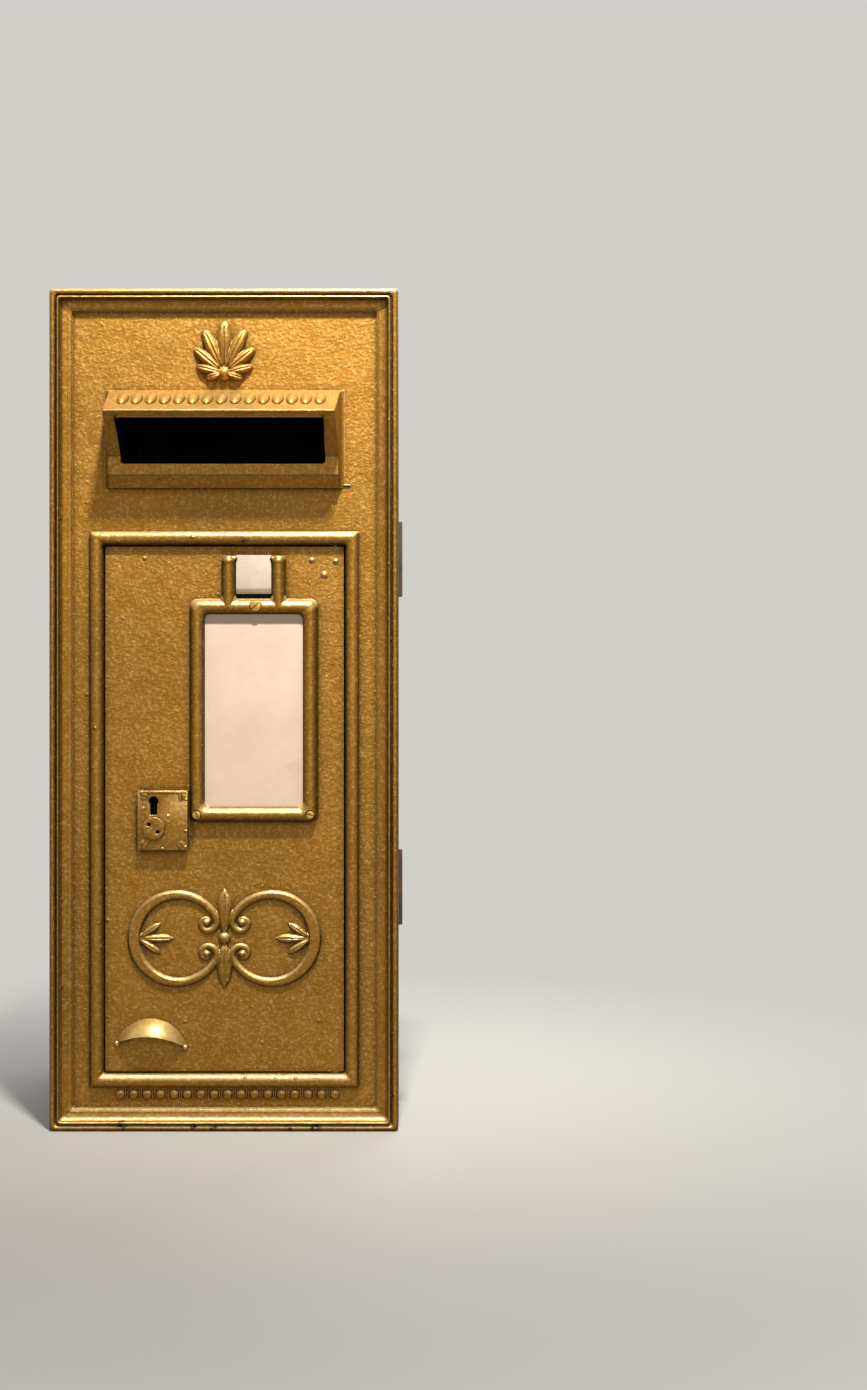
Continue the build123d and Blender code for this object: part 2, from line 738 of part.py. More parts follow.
def build():
    """All the pieces, by name."""
    pieces = {
        "rim_moulding": rim_moulding(),
        "front_plate": front_plate(),
        "door_bead": door_bead(),
        "aperture_hood": aperture_hood(),
        "palmette": palmette(),
        "door_stops": door_stops(),
        "hinge_pin_upper": hinge_pin(True),
        "hinge_pin_lower": hinge_pin(False),
        "lock_keeper": lock_keeper(),
        "case_flange": case_flange(),
        "corner_angles": corner_angles(),
        "letter_chute": letter_chute(),
        "door_leaf": door_leaf(),
        "notice_frame": notice_frame(),
        "notice_card": notice_card(),
        "day_tablet": day_tablet(),
        "lock_plate": lock_plate(),
        "cover_disc": cover_disc(),
        "lock_case": lock_case(),
        "lock_bolt": lock_bolt(),
        "door_pull": door_pull(),
        "door_scrolls": door_scrolls(),
    }
    pieces.update(case_panels())
    ties = [
        # name, side, height
        ("fixing_tie_upper_left", -1, tie_upper_z),
        ("fixing_tie_upper_right", 1, tie_upper_z),
        ("fixing_tie_lower_left", -1, tie_lower_z),
        ("fixing_tie_lower_right", 1, tie_lower_z),
    ]
    for name, side, height in ties:
        pieces[name] = fixing_tie(side, height)
    return pieces


os.makedirs("parts", exist_ok=True)
for node, solid in build().items():
    export_step(solid, f"parts/{node}.step")
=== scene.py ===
import json
from math import cos, pi, radians, sin
from types import SimpleNamespace

import bpy
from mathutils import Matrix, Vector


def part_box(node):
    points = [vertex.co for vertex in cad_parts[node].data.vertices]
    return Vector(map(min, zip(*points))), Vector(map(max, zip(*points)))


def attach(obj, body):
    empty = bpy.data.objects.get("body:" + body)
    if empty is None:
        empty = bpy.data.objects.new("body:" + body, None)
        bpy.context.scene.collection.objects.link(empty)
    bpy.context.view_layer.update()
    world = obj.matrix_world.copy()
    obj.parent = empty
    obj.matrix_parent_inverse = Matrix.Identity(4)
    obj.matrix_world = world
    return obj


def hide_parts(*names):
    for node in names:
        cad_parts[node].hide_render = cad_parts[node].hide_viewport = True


# Looks of the cast-iron wall letter box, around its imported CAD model.
# Sizes in the tables are in millimetres, and MM turns them into Blender's metres.
# +X is to the right of the front, -Y faces the street and +Z is up.

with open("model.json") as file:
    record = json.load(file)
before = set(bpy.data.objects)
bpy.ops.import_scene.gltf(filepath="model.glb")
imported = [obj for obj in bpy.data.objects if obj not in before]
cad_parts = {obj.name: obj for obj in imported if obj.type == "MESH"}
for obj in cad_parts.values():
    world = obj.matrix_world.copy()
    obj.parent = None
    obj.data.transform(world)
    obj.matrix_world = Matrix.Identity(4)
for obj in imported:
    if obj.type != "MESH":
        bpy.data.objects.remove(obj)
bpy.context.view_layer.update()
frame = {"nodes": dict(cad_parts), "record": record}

MM = 0.001
PLATE_Y = -27.0
RIM_WIDTH = 290.0
RIM_HEIGHT = 701.0
FLOOR_Z = -350.5


# Node trees

def new_node(tree, kind, values=None):
    """A new shader node of this kind, with these values on its inputs."""
    node = tree.nodes.new("ShaderNode" + kind)
    for name, value in (values or {}).items():
        node.inputs[name].default_value = value
    return node


class Paintwork:
    """Adds nodes to a new material, and joins them by socket."""

    def __init__(self, name):
        self.material = bpy.data.materials.new(name)
        self.material.use_nodes = True
        self.tree = self.material.node_tree
        self.surface = self.tree.nodes["Principled BSDF"]
        self.place = self.add("TexCoord").outputs["Object"]

    def add(self, kind, values=None):
        return new_node(self.tree, kind, values)

    def join(self, source, target):
        self.tree.links.new(source, target)

    def feed(self, socket, value):
        """Sets a colour or a number on the socket, or joins another socket to it."""
        if isinstance(value, tuple):
            socket.default_value = (*value, 1.0)
        elif isinstance(value, (int, float)):
            socket.default_value = value
        else:
            self.join(value, socket)

    def stretched(self, scale):
        """The place on the object, scaled along its three axes."""
        node = self.add("Mapping", {"Scale": scale})
        self.join(self.place, node.inputs["Vector"])
        return node.outputs["Vector"]

    def noise(self, scale, detail=3.0, roughness=0.55, along=None):
        """Noise with this many waves to the metre."""
        node = self.add("TexNoise", {"Scale": scale, "Detail": detail, "Roughness": roughness})
        self.join(along or self.place, node.inputs["Vector"])
        return node.outputs["Fac"]

    def cells(self, scale):
        """The outputs of a cell pattern, with this many cells to the metre."""
        node = self.add("TexVoronoi", {"Scale": scale})
        self.join(self.place, node.inputs["Vector"])
        return node.outputs

    def ramp(self, source, low, high, at_low=0.0, at_high=1.0):
        """A straight change between two values of the source, level beyond them."""
        node = self.add("MapRange", {"From Min": low, "From Max": high, "To Min": at_low, "To Max": at_high})
        self.join(source, node.inputs["Value"])
        return node.outputs["Result"]

    def math(self, operation, first, second):
        node = self.add("Math")
        node.operation = operation
        node.use_clamp = operation in ("ADD", "SUBTRACT")
        for socket, value in zip(node.inputs, (first, second)):
            self.feed(socket, value)
        return node.outputs[0]

    def times(self, first, second):
        return self.math("MULTIPLY", first, second)

    def mix(self, amount, first, second, most=None):
        """The second colour over the first by this amount, times the most that it may cover."""
        if most is not None:
            amount = self.times(amount, most)
        node = self.add("Mix")
        node.data_type = "RGBA"
        for name, kind, value in (("Factor", "VALUE", amount), ("A", "RGBA", first), ("B", "RGBA", second)):
            self.feed(next(s for s in node.inputs if s.name == name and s.type == kind), value)
        return next(s for s in node.outputs if s.type == "RGBA")

    def measure(self, operation, first, second=None):
        """A number from one or two vectors. The second can be a socket or fixed values."""
        node = self.add("VectorMath")
        node.operation = operation
        self.join(first, node.inputs[0])
        if isinstance(second, tuple):
            node.inputs[1].default_value = second
        elif second:
            self.join(second, node.inputs[1])
        return node.outputs["Value"]

    def hollows(self, reach):
        """1 in the open and towards 0 in grooves and under ledges."""
        node = self.add("AmbientOcclusion", {"Distance": reach * MM})
        node.samples = 6
        return node.outputs["AO"]

    def edges(self, radius):
        """Towards 1 on sharp edges, where hands and weather rub the paint."""
        bevel = self.add("Bevel", {"Radius": radius * MM})
        bevel.samples = 4
        plain = self.add("NewGeometry")
        alike = self.measure("DOT_PRODUCT", bevel.outputs["Normal"], plain.outputs["Normal"])
        return self.ramp(alike, 0.99, 0.80)

    def facing(self, x, y, z):
        """How far the surface looks along a direction, with its own curves but without its bumps."""
        return self.measure("DOT_PRODUCT", self.place.node.outputs["Normal"], (x, y, z))

    def near(self, x, y, z, radius):
        """1 close to a point and 0 beyond the radius."""
        away = self.measure("DISTANCE", self.place, (x * MM, y * MM, z * MM))
        return self.ramp(away, radius * MM, 0.6 * radius * MM)

    def bump(self, layers):
        """Relief from rows of height and depth in millimetres, the coarsest row first."""
        normal = None
        for height, depth in layers:
            node = self.add("Bump", {"Strength": 1.0, "Distance": depth * MM})
            self.join(height, node.inputs["Height"])
            if normal:
                self.join(normal, node.inputs["Normal"])
            normal = node.outputs["Normal"]
        self.join(normal, self.surface.inputs["Normal"])

    def finish(self, colour, roughness, metallic):
        for name, value in (("Base Color", colour), ("Roughness", roughness), ("Metallic", metallic)):
            self.feed(self.surface.inputs[name], value)
        return self.material


# Finishes

CHIP_Y = -36.0
CHIPS = [
    # x, z and radius of a spot where the paint has come off the moulding
    (16.0, 140.0, 2.2),
    (76.2, 88.8, 1.7),
    (64.5, 333.7, 2.6),
    (-7.8, -349.6, 2.4),
    (53.7, -349.6, 2.2),
    (76.6, -348.2, 2.6),
    (-84.4, -344.8, 2.4),
    (-25.4, -346.2, 1.8),
    (28.0, -349.0, 1.6),
]

CHIPPED_IRON = (0.015, 0.012, 0.010)
# Near black: the unpainted back of the castings, and painted shade in holes and gaps
UNPAINTED_AND_SHADE_BLACK = (0.020, 0.017, 0.014)
CLEAN_BRASS = (1.0, 0.78, 0.36)


def towards_brass(tone, share):
    return tuple(channel + (clean - channel) * share for channel, clean in zip(tone, CLEAN_BRASS))


def gold_paint(name, tone, shade, metallic, rough, ripple, side_shade_share, top_highlight_share, chips=(), unpainted_and_shade_behind=None):
    """Thick gold paint on cast iron, with ripples, flake, painted shade in the grooves and painted highlights
    on faces that look up and on worn edges.

    ripple is the depth of the casting's grain in millimetres, the side shade share the share of painted shade
    on faces that look sideways and the top highlight share the share of painted highlight on faces that look
    up. Iron further back than
    the depth given is near black: the unpainted back, and painted shade in the keyhole and the gaps round the
    door.
    """
    paint = Paintwork(name)
    drift = paint.ramp(paint.noise(9.0, 4.0), 0.35, 0.65)
    blotch = paint.ramp(paint.noise(60.0, 4.0, 0.6), 0.3, 0.7)
    ripples = paint.noise(360.0, 2.0, 0.50, along=paint.stretched((0.9, 1.0, 1.1)))
    grain = paint.noise(1700.0, 2.0, 0.6)
    flake = paint.cells(1000.0)
    deep = tuple(channel * 0.76 for channel in tone)
    pale = towards_brass(tone, 0.20)
    bright = towards_brass(tone, 0.62)
    # Broad drift, blotches and grain of the tone
    colour = paint.mix(drift, deep, tone)
    colour = paint.mix(blotch, colour, pale, 0.25)
    colour = paint.mix(paint.ramp(ripples, 0.60, 0.34, 0.0, 0.45), colour, deep)
    colour = paint.mix(paint.ramp(ripples, 0.52, 0.70, 0.0, 0.60), colour, pale)
    # Painted shade in hollows and on faces that look sideways, less of it on faces that look up
    sideways = paint.ramp(paint.facing(0.0, -1.0, 0.0), 0.99, 0.55)
    upward = paint.facing(0.0, 0.0, 1.0)
    skyward = paint.times(paint.ramp(upward, 0.04, 0.60), paint.ramp(upward, 0.86, 0.99, 1.0, 0.30))
    open_air = paint.ramp(paint.hollows(8.0), 0.42, 0.97)
    painted_shade = paint.math("SUBTRACT", 1.0, open_air)
    painted_shade = paint.math("ADD", painted_shade, paint.times(sideways, side_shade_share))
    painted_shade = paint.math("SUBTRACT", painted_shade, paint.times(skyward, 0.7))
    painted_shade = paint.times(painted_shade, paint.ramp(blotch, 0.0, 1.0, 0.75, 1.0))
    colour = paint.mix(painted_shade, colour, shade)
    # Painted highlight on faces that look up, worn edges lightened as wear and painted highlight, flakes
    # lightened as painted glints, and chips
    top_highlight_mask = paint.ramp(ripples, 0.3, 0.6, 0.55 * top_highlight_share, top_highlight_share)
    colour = paint.mix(paint.times(skyward, top_highlight_mask), colour, bright)
    # Worn edges lightened towards brass: paint wear and a painted highlight, kept out of the hollows
    worn = paint.times(paint.edges(1.2), paint.ramp(paint.noise(140.0, 3.0), 0.35, 0.6))
    worn = paint.times(worn, paint.ramp(open_air, 0.5, 0.95))
    colour = paint.mix(worn, colour, bright, 0.45)
    # Flakes lightened towards brass as painted glints
    flake_glints = paint.times(paint.ramp(flake["Color"], 0.80, 0.90), paint.ramp(grain, 0.40, 0.56))
    colour = paint.mix(flake_glints, colour, bright, 0.45)
    for x, z, radius in chips:
        ragged = paint.ramp(paint.noise(420.0, 2.0), 0.40, 0.55)
        chip = paint.times(paint.near(x, CHIP_Y, z, radius * 2.2), ragged)
        colour = paint.mix(chip, colour, CHIPPED_IRON)
    # Near black further back than this depth: the unpainted back, and painted shade inside the keyhole and
    # the gaps round the door
    if unpainted_and_shade_behind is not None:
        depth = paint.measure("DOT_PRODUCT", paint.place, (0.0, 1.0, 0.0))
        bare = paint.ramp(depth, (unpainted_and_shade_behind - 0.4) * MM, (unpainted_and_shade_behind + 0.6) * MM)
        colour = paint.mix(bare, colour, UNPAINTED_AND_SHADE_BLACK)
        metallic = paint.ramp(bare, 0.0, 1.0, metallic, 0.0)
    roughness = paint.ramp(blotch, 0.0, 1.0, rough - 0.05, rough + 0.07)
    roughness = paint.mix(painted_shade, roughness, (0.75, 0.75, 0.75))
    # Relief of the casting, with a lump of paint in some of the dust cells
    swell = paint.noise(38.0, 2.0)
    dust = paint.cells(62.0)
    lumps = paint.times(paint.ramp(dust["Distance"], 0.13, 0.03), paint.ramp(dust["Color"], 0.44, 0.46))
    relief = [(swell, 1.2), (lumps, 0.9), (ripples, ripple), (grain, ripple * 0.5)]
    paint.bump(relief + [(flake["Distance"], ripple * 0.17)])
    paint.surface.inputs["Specular IOR Level"].default_value = 0.3
    return paint.finish(colour, roughness, metallic)


def black_iron(name, tone, rust_share, rough):
    """Matt black paint on iron plate, with rust in the seams and scuffs on the edges."""
    paint = Paintwork(name)
    cloud = paint.noise(14.0, 5.0, 0.62)
    spots = paint.noise(120.0, 4.0, 0.65)
    open_air = paint.ramp(paint.hollows(14.0), 0.30, 0.95)
    seams = paint.math("SUBTRACT", 1.0, open_air)
    rust = paint.times(paint.ramp(cloud, 0.60 - rust_share, 0.72 - rust_share), paint.ramp(spots, 0.42, 0.58))
    rust = paint.math("ADD", rust, paint.times(seams, paint.ramp(spots, 0.35, 0.55)))
    rust_tone = paint.mix(spots, (0.23, 0.085, 0.030), (0.11, 0.045, 0.022))
    dusty = tuple(channel * 1.7 + 0.012 for channel in tone)
    colour = paint.mix(paint.ramp(cloud, 0.3, 0.7), tone, dusty)
    colour = paint.mix(paint.edges(1.5), colour, (0.19, 0.17, 0.15), 0.45)
    colour = paint.mix(rust, colour, rust_tone, 0.9)
    roughness = paint.ramp(rust, 0.0, 1.0, rough, 0.92)
    grain = paint.noise(700.0, 3.0, 0.6)
    pits = paint.noise(170.0, 4.0, 0.6)
    paint.bump([(cloud, 1.5), (pits, 0.35), (grain, 0.09)])
    return paint.finish(colour, roughness, paint.ramp(rust, 0.0, 1.0, 0.35, 0.0))


def bare_metal(name, tone, dark, rough, brushed_along, metallic=1.0):
    """Metal without paint, with fine drawn lines, dull patches and bright edges."""
    paint = Paintwork(name)
    lines = paint.noise(260.0, 3.0, 0.7, along=paint.stretched(brushed_along))
    cloud = paint.noise(55.0, 4.0, 0.6)
    colour = paint.mix(paint.ramp(cloud, 0.35, 0.68), tone, dark)
    colour = paint.mix(paint.ramp(lines, 0.3, 0.7), colour, dark, 0.3)
    bright = tuple(min(1.0, channel * 1.3) for channel in tone)
    colour = paint.mix(paint.edges(0.6), colour, bright, 0.6)
    roughness = paint.ramp(cloud, 0.3, 0.7, rough - 0.06, rough + 0.16)
    paint.bump([(cloud, 0.25), (lines, 0.04)])
    return paint.finish(colour, roughness, metallic)


def blank_card(name):
    """Blank warm white card: faint fibre, painted shade next to its frame, slight foxing and a satin face."""
    paint = Paintwork(name)
    fibre = paint.noise(900.0, 4.0, 0.7, along=paint.stretched((1.0, 1.0, 0.45)))
    cloud = paint.noise(28.0, 4.0)
    colour = paint.mix(paint.ramp(cloud, 0.35, 0.65), (0.73, 0.545, 0.43), (0.79, 0.61, 0.49))
    colour = paint.mix(paint.ramp(fibre, 0.3, 0.7), colour, (0.59, 0.44, 0.32), 0.12)
    # Painted shade on the card next to its frame, where the frame stands over it
    frame_shade = paint.math("SUBTRACT", 1.0, paint.ramp(paint.hollows(9.0), 0.35, 1.0))
    colour = paint.mix(frame_shade, colour, (0.50, 0.36, 0.20), 0.45)
    foxing = paint.ramp(paint.noise(75.0, 3.0), 0.66, 0.74)
    colour = paint.mix(foxing, colour, (0.55, 0.38, 0.20), 0.22)
    paint.bump([(cloud, 0.6), (fibre, 0.02)])
    paint.surface.inputs["Coat Weight"].default_value = 0.15
    paint.surface.inputs["Coat Roughness"].default_value = 0.35
    return paint.finish(colour, 0.55, 0.0)


def enamel(name):
    """Off-white vitreous enamel with darker, chipped edges and hairline crazing."""
    paint = Paintwork(name)
    cloud = paint.noise(60.0, 4.0)
    colour = paint.mix(paint.ramp(cloud, 0.3, 0.7), (0.50, 0.395, 0.33), (0.58, 0.475, 0.41))
    crazing = paint.ramp(paint.cells(420.0)["Distance"], 0.02, 0.0)
    colour = paint.mix(crazing, colour, (0.35, 0.28, 0.20), 0.2)
    chipped = paint.times(paint.edges(0.9), paint.ramp(paint.noise(300.0, 3.0), 0.38, 0.5))
    colour = paint.mix(chipped, colour, (0.06, 0.045, 0.03))
    paint.bump([(cloud, 0.3), (paint.noise(500.0, 2.0), 0.03)])
    return paint.finish(colour, paint.ramp(cloud, 0.3, 0.7, 0.22, 0.38), 0.0)


FRONT_GOLD = {"tone": (0.345, 0.154, 0.0105), "shade": (0.048, 0.024, 0.002)}
WORN_GOLD = {"tone": (0.64, 0.38, 0.085), "shade": (0.13, 0.07, 0.014)}
PLATE_BACK_Y = -26.2

front_paint = gold_paint(
    "gold paint on the mouldings", **FRONT_GOLD, metallic=0.70, rough=0.32, ripple=0.32,
    side_shade_share=0.8, top_highlight_share=1.0, chips=CHIPS)
hood_paint = gold_paint(
    "gold paint on the hood", **FRONT_GOLD, metallic=0.60, rough=0.40, ripple=0.36,
    side_shade_share=0.1, top_highlight_share=0.35)
leaf_paint = gold_paint(
    "gold paint on the plates", **FRONT_GOLD, metallic=0.60, rough=0.46, ripple=0.60,
    side_shade_share=0.3, top_highlight_share=0.6, unpainted_and_shade_behind=PLATE_BACK_Y)
pull_paint = gold_paint(
    "hand-worn gold paint", **WORN_GOLD, metallic=0.75, rough=0.31, ripple=0.06,
    side_shade_share=0.2, top_highlight_share=0.7)
case_iron = black_iron("black painted iron", (0.028, 0.027, 0.026), 0.02, 0.55)
tie_iron = black_iron("rusted tie iron", (0.040, 0.034, 0.030), 0.14, 0.62)
forged_steel = bare_metal("oiled steel", (0.27, 0.26, 0.24), (0.12, 0.105, 0.09), 0.34, (1.0, 1.0, 0.05))
lock_brass = bare_metal("aged brass", (0.62, 0.44, 0.19), (0.28, 0.18, 0.08), 0.34, (0.05, 1.0, 1.0))
# Near-black matt material, used as painted shade in the slot, the keyhole and the spanner holes
shade_black = bare_metal("near-black painted shade", (0.0015,) * 3, (0.001,) * 3, 0.8, (1.0, 1.0, 1.0), 0.9)
card_face = blank_card("blank card")
tablet_face = enamel("off-white enamel")

NODE_FINISHES = {
    "front_paint": front_paint,
    "pull_paint": pull_paint,
    "card": card_face,
    "tablet_enamel": tablet_face,
    "case_iron": case_iron,
    "tie_iron": tie_iron,
    "forged_steel": forged_steel,
    "lock_brass": lock_brass,
}


def finish_cad_nodes():
    """Gives every CAD node the finish of its slot in the record."""
    slots = {subpart["node"]: subpart["material_slot"] for subpart in frame["record"]["subparts"]}
    for name, node in frame["nodes"].items():
        node.data.materials.clear()
        node.data.materials.append(NODE_FINISHES[slots[name]])


# Hand tools

def let_go():
    if bpy.context.mode != "OBJECT":
        bpy.ops.object.mode_set(mode="OBJECT")
    bpy.ops.object.select_all(action="DESELECT")


def pick(pieces):
    let_go()
    for piece in pieces:
        piece.select_set(True)
    bpy.context.view_layer.objects.active = pieces[0]


def settle(piece):
    """Puts the piece's place, turn and scale into its mesh."""
    pick([piece])
    bpy.ops.object.transform_apply(location=True, rotation=True, scale=True)


def added(name):
    """Names the object that the last operator added, and puts its place into its mesh."""
    piece = bpy.context.object
    piece.name = name
    settle(piece)
    return piece


def open_mesh(piece):
    pick([piece])
    bpy.ops.object.mode_set(mode="EDIT")
    bpy.ops.mesh.select_all(action="SELECT")


def close_mesh():
    bpy.ops.object.mode_set(mode="OBJECT")


def choose(piece, test):
    """Selects the corners that pass the test, which gets their place in millimetres."""
    open_mesh(piece)
    bpy.ops.mesh.select_mode(type="VERT")
    bpy.ops.mesh.select_all(action="DESELECT")
    close_mesh()
    for corner in piece.data.vertices:
        corner.select = test(*(corner.co / MM))
    bpy.ops.object.mode_set(mode="EDIT")


def outward(piece):
    """Joins corners that lie together, and turns all faces outwards."""
    open_mesh(piece)
    bpy.ops.mesh.remove_doubles(threshold=0.01 * MM)
    bpy.ops.mesh.normals_make_consistent(inside=False)
    close_mesh()


def modify(piece, kind, **settings):
    pick([piece])
    modifier = piece.modifiers.new(kind.lower(), kind)
    for name, value in settings.items():
        setattr(modifier, name, value)
    bpy.ops.object.modifier_apply(modifier=modifier.name)


def soften(piece, width, angle=40, segments=2):
    """Rounds the sharp edges a little, as thick paint does, and shades the rest smooth."""
    modify(piece, "BEVEL", width=width * MM, segments=segments, limit_method="ANGLE",
           angle_limit=radians(angle))
    smooth(piece, 40)


def smooth(piece, angle):
    pick([piece])
    bpy.ops.object.shade_smooth_by_angle(angle=radians(angle))


def melt(piece, voxel, passes):
    """Turns crossing shapes into one skin, and eases the valleys between them as paint does."""
    modify(piece, "REMESH", mode="VOXEL", voxel_size=voxel * MM, adaptivity=0.0)
    modify(piece, "SMOOTH", factor=0.5, iterations=passes)
    bpy.ops.object.shade_smooth()


def joined(name, pieces):
    pick(pieces)
    bpy.ops.object.join()
    piece = bpy.context.object
    piece.name = name
    return piece


def cut_away(piece, tool):
    """Takes the tool's shape out of the piece, and removes the tool."""
    modify(piece, "BOOLEAN", operation="DIFFERENCE", solver="EXACT", object=tool)
    bpy.data.objects.remove(tool)


def slice_off(piece, point, normal):
    """Cuts the piece at a plane, drops the side that the normal points to and closes the cut."""
    open_mesh(piece)
    bpy.ops.mesh.bisect(
        plane_co=[value * MM for value in point], plane_no=normal, use_fill=True, clear_outer=True)
    close_mesh()


def copy_of(piece, name, dx, dy, dz):
    """A copy with its own mesh, moved by these millimetres."""
    pick([piece])
    bpy.ops.object.duplicate()
    twin = bpy.context.object
    twin.name = name
    twin.location = (dx * MM, dy * MM, dz * MM)
    settle(twin)
    return twin


def copies_of(first, places):
    """Copies of a piece, one moved by each of these places. The piece itself is removed."""
    copies = [copy_of(first, first.name, *place) for place in places]
    bpy.data.objects.remove(first)
    return copies


def evenly(count, pitch):
    """Distances from the middle of so many things in a row, with this pitch."""
    return [(number - (count - 1) / 2) * pitch for number in range(count)]


def dress(piece, material, body, replaces=()):
    """Gives a piece its finish and its body, and hides the CAD nodes that it takes the place of."""
    piece.data.materials.clear()
    piece.data.materials.append(material)
    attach(piece, body)
    if replaces:
        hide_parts(*replaces)


def in_mm(corners):
    """The sides of a box in millimetres, from its lowest and its highest corner."""
    low, high = corners
    return SimpleNamespace(
        left=low.x / MM, right=high.x / MM, front=low.y / MM, back=high.y / MM,
        bottom=low.z / MM, top=high.z / MM)


# Plain shapes

def box_piece(name, left, right, front, back, bottom, top, turn_y=0):
    """A box between these sides, turned about its middle."""
    let_go()
    middle = ((left + right) / 2 * MM, (front + back) / 2 * MM, (bottom + top) / 2 * MM)
    bpy.ops.mesh.primitive_cube_add(size=1, location=middle, rotation=(0, radians(turn_y), 0))
    bpy.context.object.scale = ((right - left) * MM, (back - front) * MM, (top - bottom) * MM)
    return added(name)


def rod(name, place, radius, length, vertices, turn_x=90, scale=(1, 1, 1)):
    """A cylinder about this place, scaled before it is turned. With no turn it stands upright."""
    let_go()
    bpy.ops.mesh.primitive_cylinder_add(
        vertices=vertices, radius=radius * MM, depth=length * MM,
        location=[value * MM for value in place], rotation=(radians(turn_x), 0, 0))
    bpy.context.object.scale = scale
    return added(name)


def ball(name, place, radius, segments, rings, turn=(0, 0, 0), scale=(1, 1, 1)):
    """A ball about this place, scaled before it is turned."""
    let_go()
    bpy.ops.mesh.primitive_uv_sphere_add(
        segments=segments, ring_count=rings, radius=radius * MM,
        location=[value * MM for value in place], rotation=[radians(angle) for angle in turn])
    bpy.context.object.scale = scale
    return added(name)


def lens(name, x, y, z, radius, rise, segments, rings):
    """The street half of a flattened ball, such as a painted-over rivet head."""
    piece = ball(name, (x, y, z), radius, segments, rings, turn=(90, 0, 0), scale=(1, 1, rise / radius))
    slice_off(piece, (x, y + 0.2, z), (0, 1, 0))
    smooth(piece, 60)
    return piece


def bar(name, left, right, bottom, top, rise, edge, base_y=PLATE_Y):
    """A flat bar on the plate with rounded edges."""
    piece = box_piece(name, left, right, base_y - rise, base_y + 0.5, bottom, top)
    soften(piece, edge, angle=30, segments=3)
    return piece


def screw(name, x, y, z, radius, rise, slot_angle, slot_depth, slot_width):
    """A flat screw head with a cut slot, its face standing off the surface behind it."""
    flat = rod(name, (x, y - rise / 2 + 0.5, z), radius, rise + 1, 28)
    reach = radius * 1.5
    face = y - rise
    cut_away(flat, box_piece(
        "slot_cutter", x - reach, x + reach, face - slot_depth, face + slot_depth,
        z - slot_width / 2, z + slot_width / 2, slot_angle))
    soften(flat, 0.22, angle=35)
    return flat


def framed_moulding(name, x, z, width, height, corner, profile, base_y):
    """A frame drawn in from its rounded outer edge. The profile has rows of run inwards and rise."""
    old_run, old_rise = profile[0]
    let_go()
    bpy.ops.mesh.primitive_plane_add(
        size=1, location=(x * MM, (base_y - old_rise) * MM, z * MM), rotation=(radians(90), 0, 0))
    bpy.context.object.scale = (width * MM, height * MM, 1)
    piece = added(name)
    open_mesh(piece)
    bpy.ops.mesh.bevel(offset=corner * MM, segments=4, affect="VERTICES")
    bpy.ops.mesh.select_mode(type="EDGE")
    bpy.ops.mesh.delete(type="ONLY_FACE")
    bpy.ops.mesh.select_all(action="SELECT")
    for run, rise in profile[1:]:
        grow_x = (width - 2 * run) / (width - 2 * old_run)
        grow_z = (height - 2 * run) / (height - 2 * old_run)
        bpy.ops.mesh.extrude_region_move(
            TRANSFORM_OT_translate={"value": (0, (old_rise - rise) * MM, 0)})
        bpy.ops.transform.resize(value=(grow_x, 1, grow_z), center_override=(x * MM, 0, z * MM))
        old_run, old_rise = run, rise
    bpy.ops.mesh.select_all(action="DESELECT")
    bpy.ops.mesh.select_non_manifold()
    bpy.ops.mesh.bridge_edge_loops()
    close_mesh()
    outward(piece)
    return piece


def arc_rows(run_from, run_to, foot, peak, steps):
    """Profile rows over a half-round member, from its foot up to its peak and down again."""
    middle = (run_from + run_to) / 2
    half = (run_to - run_from) / 2
    turns = [pi * step / steps for step in range(steps + 1)]
    return [(middle - half * cos(turn), foot + (peak - foot) * sin(turn)) for turn in turns]


# Front mouldings

def rim_profile():
    """Rows from the wall over the rim to the plate, and down the rim's hollow back."""
    stand = -PLATE_Y
    rows = [(0.0, 0.0)]
    # Outer bead
    rows += arc_rows(0.0, 5.4, stand + 6.8, stand + 10.0, 8)
    # Quirk and ridge
    rows += [(5.4, stand + 6.5), (6.4, stand + 6.5)]
    rows += arc_rows(6.4, 8.2, stand + 9.8, stand + 11.0, 6)
    # Cavetto
    for step in range(1, 7):
        share = step / 6
        rows.append((8.2 + 4.1 * share ** 1.7, stand + 4.6 + 5.2 * (1 - share) ** 1.7))
    # Sloping fillet and edge step
    rows += [(14.6, stand + 4.0), (14.9, stand + 4.2), (17.8, stand + 3.2)]
    rows += [(17.8, stand + 1.2), (18.8, stand + 1.2), (18.8, stand - 0.4)]
    # Hollow back
    rows += [(6.0, stand - 0.4), (6.0, 0.0)]
    return rows


def make_rim():
    rim = framed_moulding("rim", 0, 0, RIM_WIDTH, RIM_HEIGHT, corner=2.6, profile=rim_profile(), base_y=0)
    soften(rim, 0.35, angle=38)
    dress(rim, front_paint, "box", ["rim_moulding"])


DOOR_BEAD_WIDTH = 11.5
DOOR_BEAD_RISE = 7.0


def make_door_surround():
    """The half-round bead round the door."""
    edge = in_mm(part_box("door_bead"))
    rows = [(0.0, -0.3)]
    rows += arc_rows(0.0, DOOR_BEAD_WIDTH, 1.2, DOOR_BEAD_RISE, 14)
    rows += [(DOOR_BEAD_WIDTH, -0.3)]
    bead = framed_moulding(
        "door_surround", (edge.left + edge.right) / 2, (edge.bottom + edge.top) / 2,
        edge.right - edge.left, edge.top - edge.bottom, corner=1.8, profile=rows, base_y=PLATE_Y)
    smooth(bead, 50)
    dress(bead, front_paint, "box", ["door_bead"])


def recast(node, name, bevel=0.0):
    """A copy of a CAD node with its corners joined up, so that its edges can be softened."""
    piece = copy_of(frame["nodes"][node], name, 0, 0, 0)
    open_mesh(piece)
    bpy.ops.mesh.remove_doubles(threshold=0.005 * MM)
    close_mesh()
    bpy.ops.mesh.customdata_custom_splitnormals_clear()
    if bevel:
        modify(piece, "BEVEL", width=bevel * MM, segments=2, limit_method="ANGLE",
               angle_limit=radians(40), use_clamp_overlap=True)
    smooth(piece, 35)
    return piece


